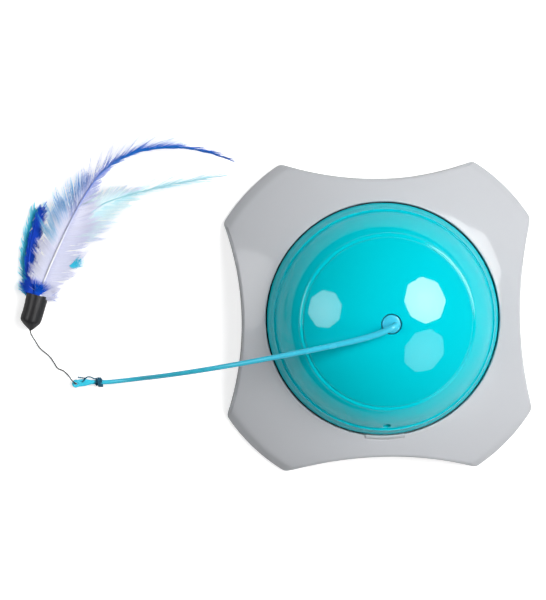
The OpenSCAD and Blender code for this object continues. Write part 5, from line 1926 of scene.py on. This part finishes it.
    @staticmethod
    def royal_plume() -> Plume:
        """Gives the royal blue feather beside the white one."""
        outer, inner = Side.OUTER, Side.INNER
        dark = (ROYAL,)
        return Plume(
            "royal_plume", "royal_feather", "feather_royal", Finishes.ROYAL, (2.6, -0.8),
            ((-196.4, 24.0), (-196.8, 33.0), (-195.0, 46.0), (-191.8, 57.5), (-188.8, 65.5)), 3.4,
            (ROYAL, ROYAL), (0.6, 0.2),
            (BarbRow(outer, 0.0, 0.92, 200, (4, 4, 4.5, 4, 3), (34, 30, 26, 20), dark, dark, 6, 12, 0.1,
                     0.15, 0.31, 0.0),
             BarbRow(inner, 0.0, 0.92, 220, (5, 7, 8, 8, 5), (46, 40, 34, 22), dark, dark, 6, 12, 0.1, 0.15,
                     0.31, -0.6),
             BarbRow(outer, 0.0, 0.96, 700, (4, 5, 5, 5, 5), (34, 30, 26, 20), dark, (ROYAL, BRIGHT_ROYAL),
                     6, 14, 0.25, 0.2, 0.15, 0.4),
             BarbRow(inner, 0.0, 0.96, 760, (6.5, 9, 10, 10, 6), (46, 40, 34, 22), dark,
                     (BRIGHT_ROYAL, ROYAL), 6, 14, 0.2, 0.2, 0.16, -0.2)),
            (Tuft((-192.8, 16.0, 9.6), 62.0, 45.0, 10.5, 130, ROYAL, BRIGHT_ROYAL, 0.14, 1.4),
             Tuft((-194.6, 16.4, 8.4), 96.0, 45.0, 11.0, 130, ROYAL, ROYAL, 0.14, 0.0),
             Tuft((-196.8, 16.8, 6.2), 106.0, 40.0, 10.0, 150, ROYAL, BRIGHT_ROYAL, 0.14, -0.6)),
            37)

    @staticmethod
    def turquoise_plume() -> Plume:
        """Gives the turquoise feather, whose fringe shows past the royal blue one."""
        outer, inner = Side.OUTER, Side.INNER
        dark = (TURQUOISE,)
        return Plume(
            "turquoise_plume", "turquoise_feather", "feather_turquoise", Finishes.TURQUOISE, (2.2, -3.4),
            ((-198.0, 23.5), (-199.4, 34.0), (-198.0, 46.0), (-195.0, 57.0), (-192.4, 65.0)), 1.4,
            (TURQUOISE, TURQUOISE), (0.55, 0.2),
            (BarbRow(outer, 0.0, 0.94, 200, (5, 5, 5, 5, 5), (36, 30, 26, 22), dark, dark, 8, 10, 0.1, 0.2,
                     0.27, -0.2),
             BarbRow(outer, 0.0, 0.97, 620, (6, 6, 7, 7, 7), (38, 32, 28, 24), dark,
                     (TURQUOISE, LIGHT_CYAN, LIGHT_CYAN), 8, 13, 0.35, 0.3, 0.13, 0.4),
             BarbRow(inner, 0.0, 0.97, 420, (6, 8, 9, 7), (40, 34, 26), dark, (TURQUOISE, LIGHT_CYAN), 8, 14,
                     0.3, 0.25, 0.13, 0.0)),
            (Tuft((-198.0, 16.8, 4.6), 112.0, 36.0, 10.0, 120, TURQUOISE, LIGHT_CYAN, 0.12, -1.0),), 41)

    def build(self) -> None:
        """Builds the string first, then the sleeve and the feathers."""
        self.build_string()
        self.build_sleeve()
        for plume in (self.white_plume(), self.aqua_plume(), self.royal_plume(), self.turquoise_plume()):
            self.build_feather(plume)


@dataclass(frozen=True)
class SoftBox:
    """An octagonal softbox: its direction, half angle and brightness, seen from the dome."""

    name: str
    direction: Point
    half_angle: float
    radiance: float
    rim: float = 0.8
    core: float = 0.15
    sides: int = 8


@dataclass
class Studio:
    """Camera, floor, softboxes and surrounding light."""

    camera_at: Point = (-110.2, 68.1, 1000.0)
    turn: Point = (3.29, 2.88, 0.96)
    lens: float = 106.06
    sensor: float = 36.0
    view_end: float = 30.0
    aim: Point = (0.0, 0.0, 0.06)
    box_distance: float = 2.6
    floor_half: float = 6.0
    floor_z: float = -0.0002
    floor_colour: Colour = (0.58, 0.58, 0.58)
    floor_glow: float = 0.7
    gloss_share: float = 0.1
    fill: float = 0.22
    white_heights: Flat = (0.3, 0.8)
    wall_sides: Flat = (0.1, 0.9)
    wall_light: Flat = (0.1, 0.75)
    wall_heights: Flat = (0.2, 0.7)
    mirror_fill: float = 0.03
    boxes: tuple[SoftBox, ...] = (
        SoftBox("key_box", (0.579, 0.235, 0.780), 18.2, 12.4),
        SoftBox("front_box", (0.547, -0.432, 0.717), 17.4, 2.5),
        SoftBox("left_box", (-0.749, 0.133, 0.649), 15.0, 4.9))

    def build_camera(self) -> None:
        """Sets the camera over the object, slightly turned."""
        lens = bpy.data.cameras.new("photo_camera")
        lens.sensor_fit = "VERTICAL"
        lens.sensor_height = self.sensor
        lens.lens = self.lens
        lens.clip_end = self.view_end
        camera = bpy.data.objects.new("photo_camera", lens)
        bpy.context.scene.collection.objects.link(camera)
        rx, ry, rz = (math.radians(a) for a in self.turn)
        view = Matrix.Rotation(rz, 3, "Z") @ Matrix.Rotation(rx, 3, "X") @ Matrix.Rotation(ry, 3, "Y")
        camera.matrix_world = Matrix.Translation(Vector(self.camera_at) * MM) @ view.transposed().to_4x4()
        bpy.context.scene.camera = camera

    @staticmethod
    def rays(wiring: Wiring) -> tuple[bpy.types.NodeSocket, bpy.types.NodeSocket]:
        """Gives sockets that tell straight rays of the camera, and mirrored rays."""
        path = wiring.add("ShaderNodeLightPath")
        straight = wiring.sum("MAXIMUM", path.outputs["Is Camera Ray"], path.outputs["Is Transmission Ray"])
        return straight, path.outputs["Is Glossy Ray"]

    def build_floor(self) -> None:
        """Lays the pale floor, which keeps the object's shadow."""
        h, z = self.floor_half, self.floor_z
        mesh = bpy.data.meshes.new("studio_floor")
        mesh.from_pydata([(-h, -h, z), (h, -h, z), (h, h, z), (-h, h, z)], [], [(0, 1, 2, 3)])
        paint = bpy.data.materials.new("floor_white")
        paint.use_nodes = True
        wiring = Wiring(paint.node_tree)
        shader = paint.node_tree.nodes["Principled BSDF"]
        shader.inputs["Roughness"].default_value = 1.0
        shader.inputs["Specular IOR Level"].default_value = 0.0
        shader.inputs["Emission Color"].default_value = (1.0, 1.0, 1.0, 1.0)
        straight, glossy = self.rays(wiring)
        seen = wiring.sum("MULTIPLY_ADD", glossy, self.gloss_share, straight)
        wiring.feed(shader.inputs["Emission Strength"], wiring.sum("MULTIPLY", seen, self.floor_glow))
        shader.inputs["Base Color"].default_value = opaque(self.floor_colour)
        link_piece("studio_floor", mesh, paint)

    def build_box(self, box: SoftBox) -> None:
        """Hangs one softbox, brighter in its middle and dark behind.

        Args:
            box: The softbox.
        """
        way = Vector(box.direction).normalized()
        centre = way * self.box_distance + Vector(self.aim)
        radius = self.box_distance * math.tan(math.radians(box.half_angle))
        face = way.to_track_quat("-Z", "Y").to_matrix()
        step = 360.0 / box.sides
        ring = [face @ Vector((*polar(radius, step * (k + 0.5)), 0.0)) for k in range(box.sides)]
        mesh = bpy.data.meshes.new(box.name)
        mesh.from_pydata([centre + p for p in ring], [], [tuple(range(box.sides))])
        glow = bpy.data.materials.new(box.name)
        glow.use_nodes = True
        wiring = Wiring(glow.node_tree)
        wiring.tree.nodes.clear()
        where = wiring.add("ShaderNodeTexCoord").outputs["Object"]
        off = wiring.vector("DISTANCE", where, tuple(centre)).outputs["Value"]
        power = wiring.span(off, box.core * radius, radius, box.radiance, box.radiance * box.rim)
        lamp = wiring.add("ShaderNodeEmission")
        wiring.feed(lamp.inputs["Strength"], power)
        clear = wiring.add("ShaderNodeBsdfTransparent")
        mix = wiring.add("ShaderNodeMixShader")
        wiring.feed(mix.inputs[0], wiring.add("ShaderNodeNewGeometry").outputs["Backfacing"])
        wiring.feed(mix.inputs[1], lamp.outputs[0])
        wiring.feed(mix.inputs[2], clear.outputs[0])
        wiring.feed(wiring.add("ShaderNodeOutputMaterial").inputs["Surface"], mix.outputs[0])
        piece = link_piece(box.name, mesh, glow)
        piece.visible_camera = False

    def build_world(self) -> None:
        """Sets the faint light all round, with pale walls that show near the horizon."""
        world = bpy.data.worlds.new("studio_room")
        world.use_nodes = True
        bpy.context.scene.world = world
        wiring = Wiring(world.node_tree)
        back = world.node_tree.nodes["Background"]
        axis = wiring.add("ShaderNodeSeparateXYZ")
        wiring.feed(axis.inputs[0], wiring.add("ShaderNodeTexCoord").outputs["Generated"])
        straight, glossy = self.rays(wiring)
        height = axis.outputs["Z"]
        white = wiring.span(height, *self.white_heights, 1.0 - self.fill, 0.0)
        wall = wiring.span(axis.outputs["X"], *self.wall_sides, *self.wall_light)
        mirrored = wiring.sum("MULTIPLY", wall, wiring.span(height, *self.wall_heights, 1.0, 0.0))
        shown = wiring.sum("MULTIPLY", straight, white)
        bright = wiring.sum("SUBTRACT", mirrored, self.fill - self.mirror_fill)
        gloss = wiring.sum("MULTIPLY", glossy, bright)
        wiring.feed(back.inputs["Strength"], wiring.sum("ADD", wiring.sum("ADD", shown, gloss), self.fill))

    def build(self) -> None:
        """Builds the whole studio."""
        self.build_camera()
        self.build_floor()
        for box in self.boxes:
            self.build_box(box)
        self.build_world()
        view = bpy.context.scene.view_settings
        view.view_transform = "Standard"


@dataclass
class Works:
    """Pieces that keep their CAD shape: underside, drive, board and cells."""

    book: FinishBook
    nodes: dict[str, bpy.types.Object]

    def dress(self) -> None:
        """Gives every kept CAD node its finish."""
        for name, finish in CAD_FINISHES.items():
            piece = self.nodes[name]
            material = self.book.get(finish)
            if not piece.material_slots:
                piece.data.materials.append(material)
            for slot in piece.material_slots:
                slot.material = material
            LOG.info("%s keeps its shape, in %s", name, finish.name)


def main() -> None:
    """Builds the studio and the pieces in order, and notes the sizes."""
    logging.basicConfig(level=logging.INFO, format="%(name)s: %(message)s")
    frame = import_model()
    book = FinishBook(SurfaceGroups())
    trees = GrowTrees()
    Studio().build()
    Lure(book, trees).build()
    Wand(book, trees).build()
    Stand(book, trees).build()
    Dome(book).build()
    Works(book, frame["nodes"]).dress()


if __name__ == "__main__":
    main()
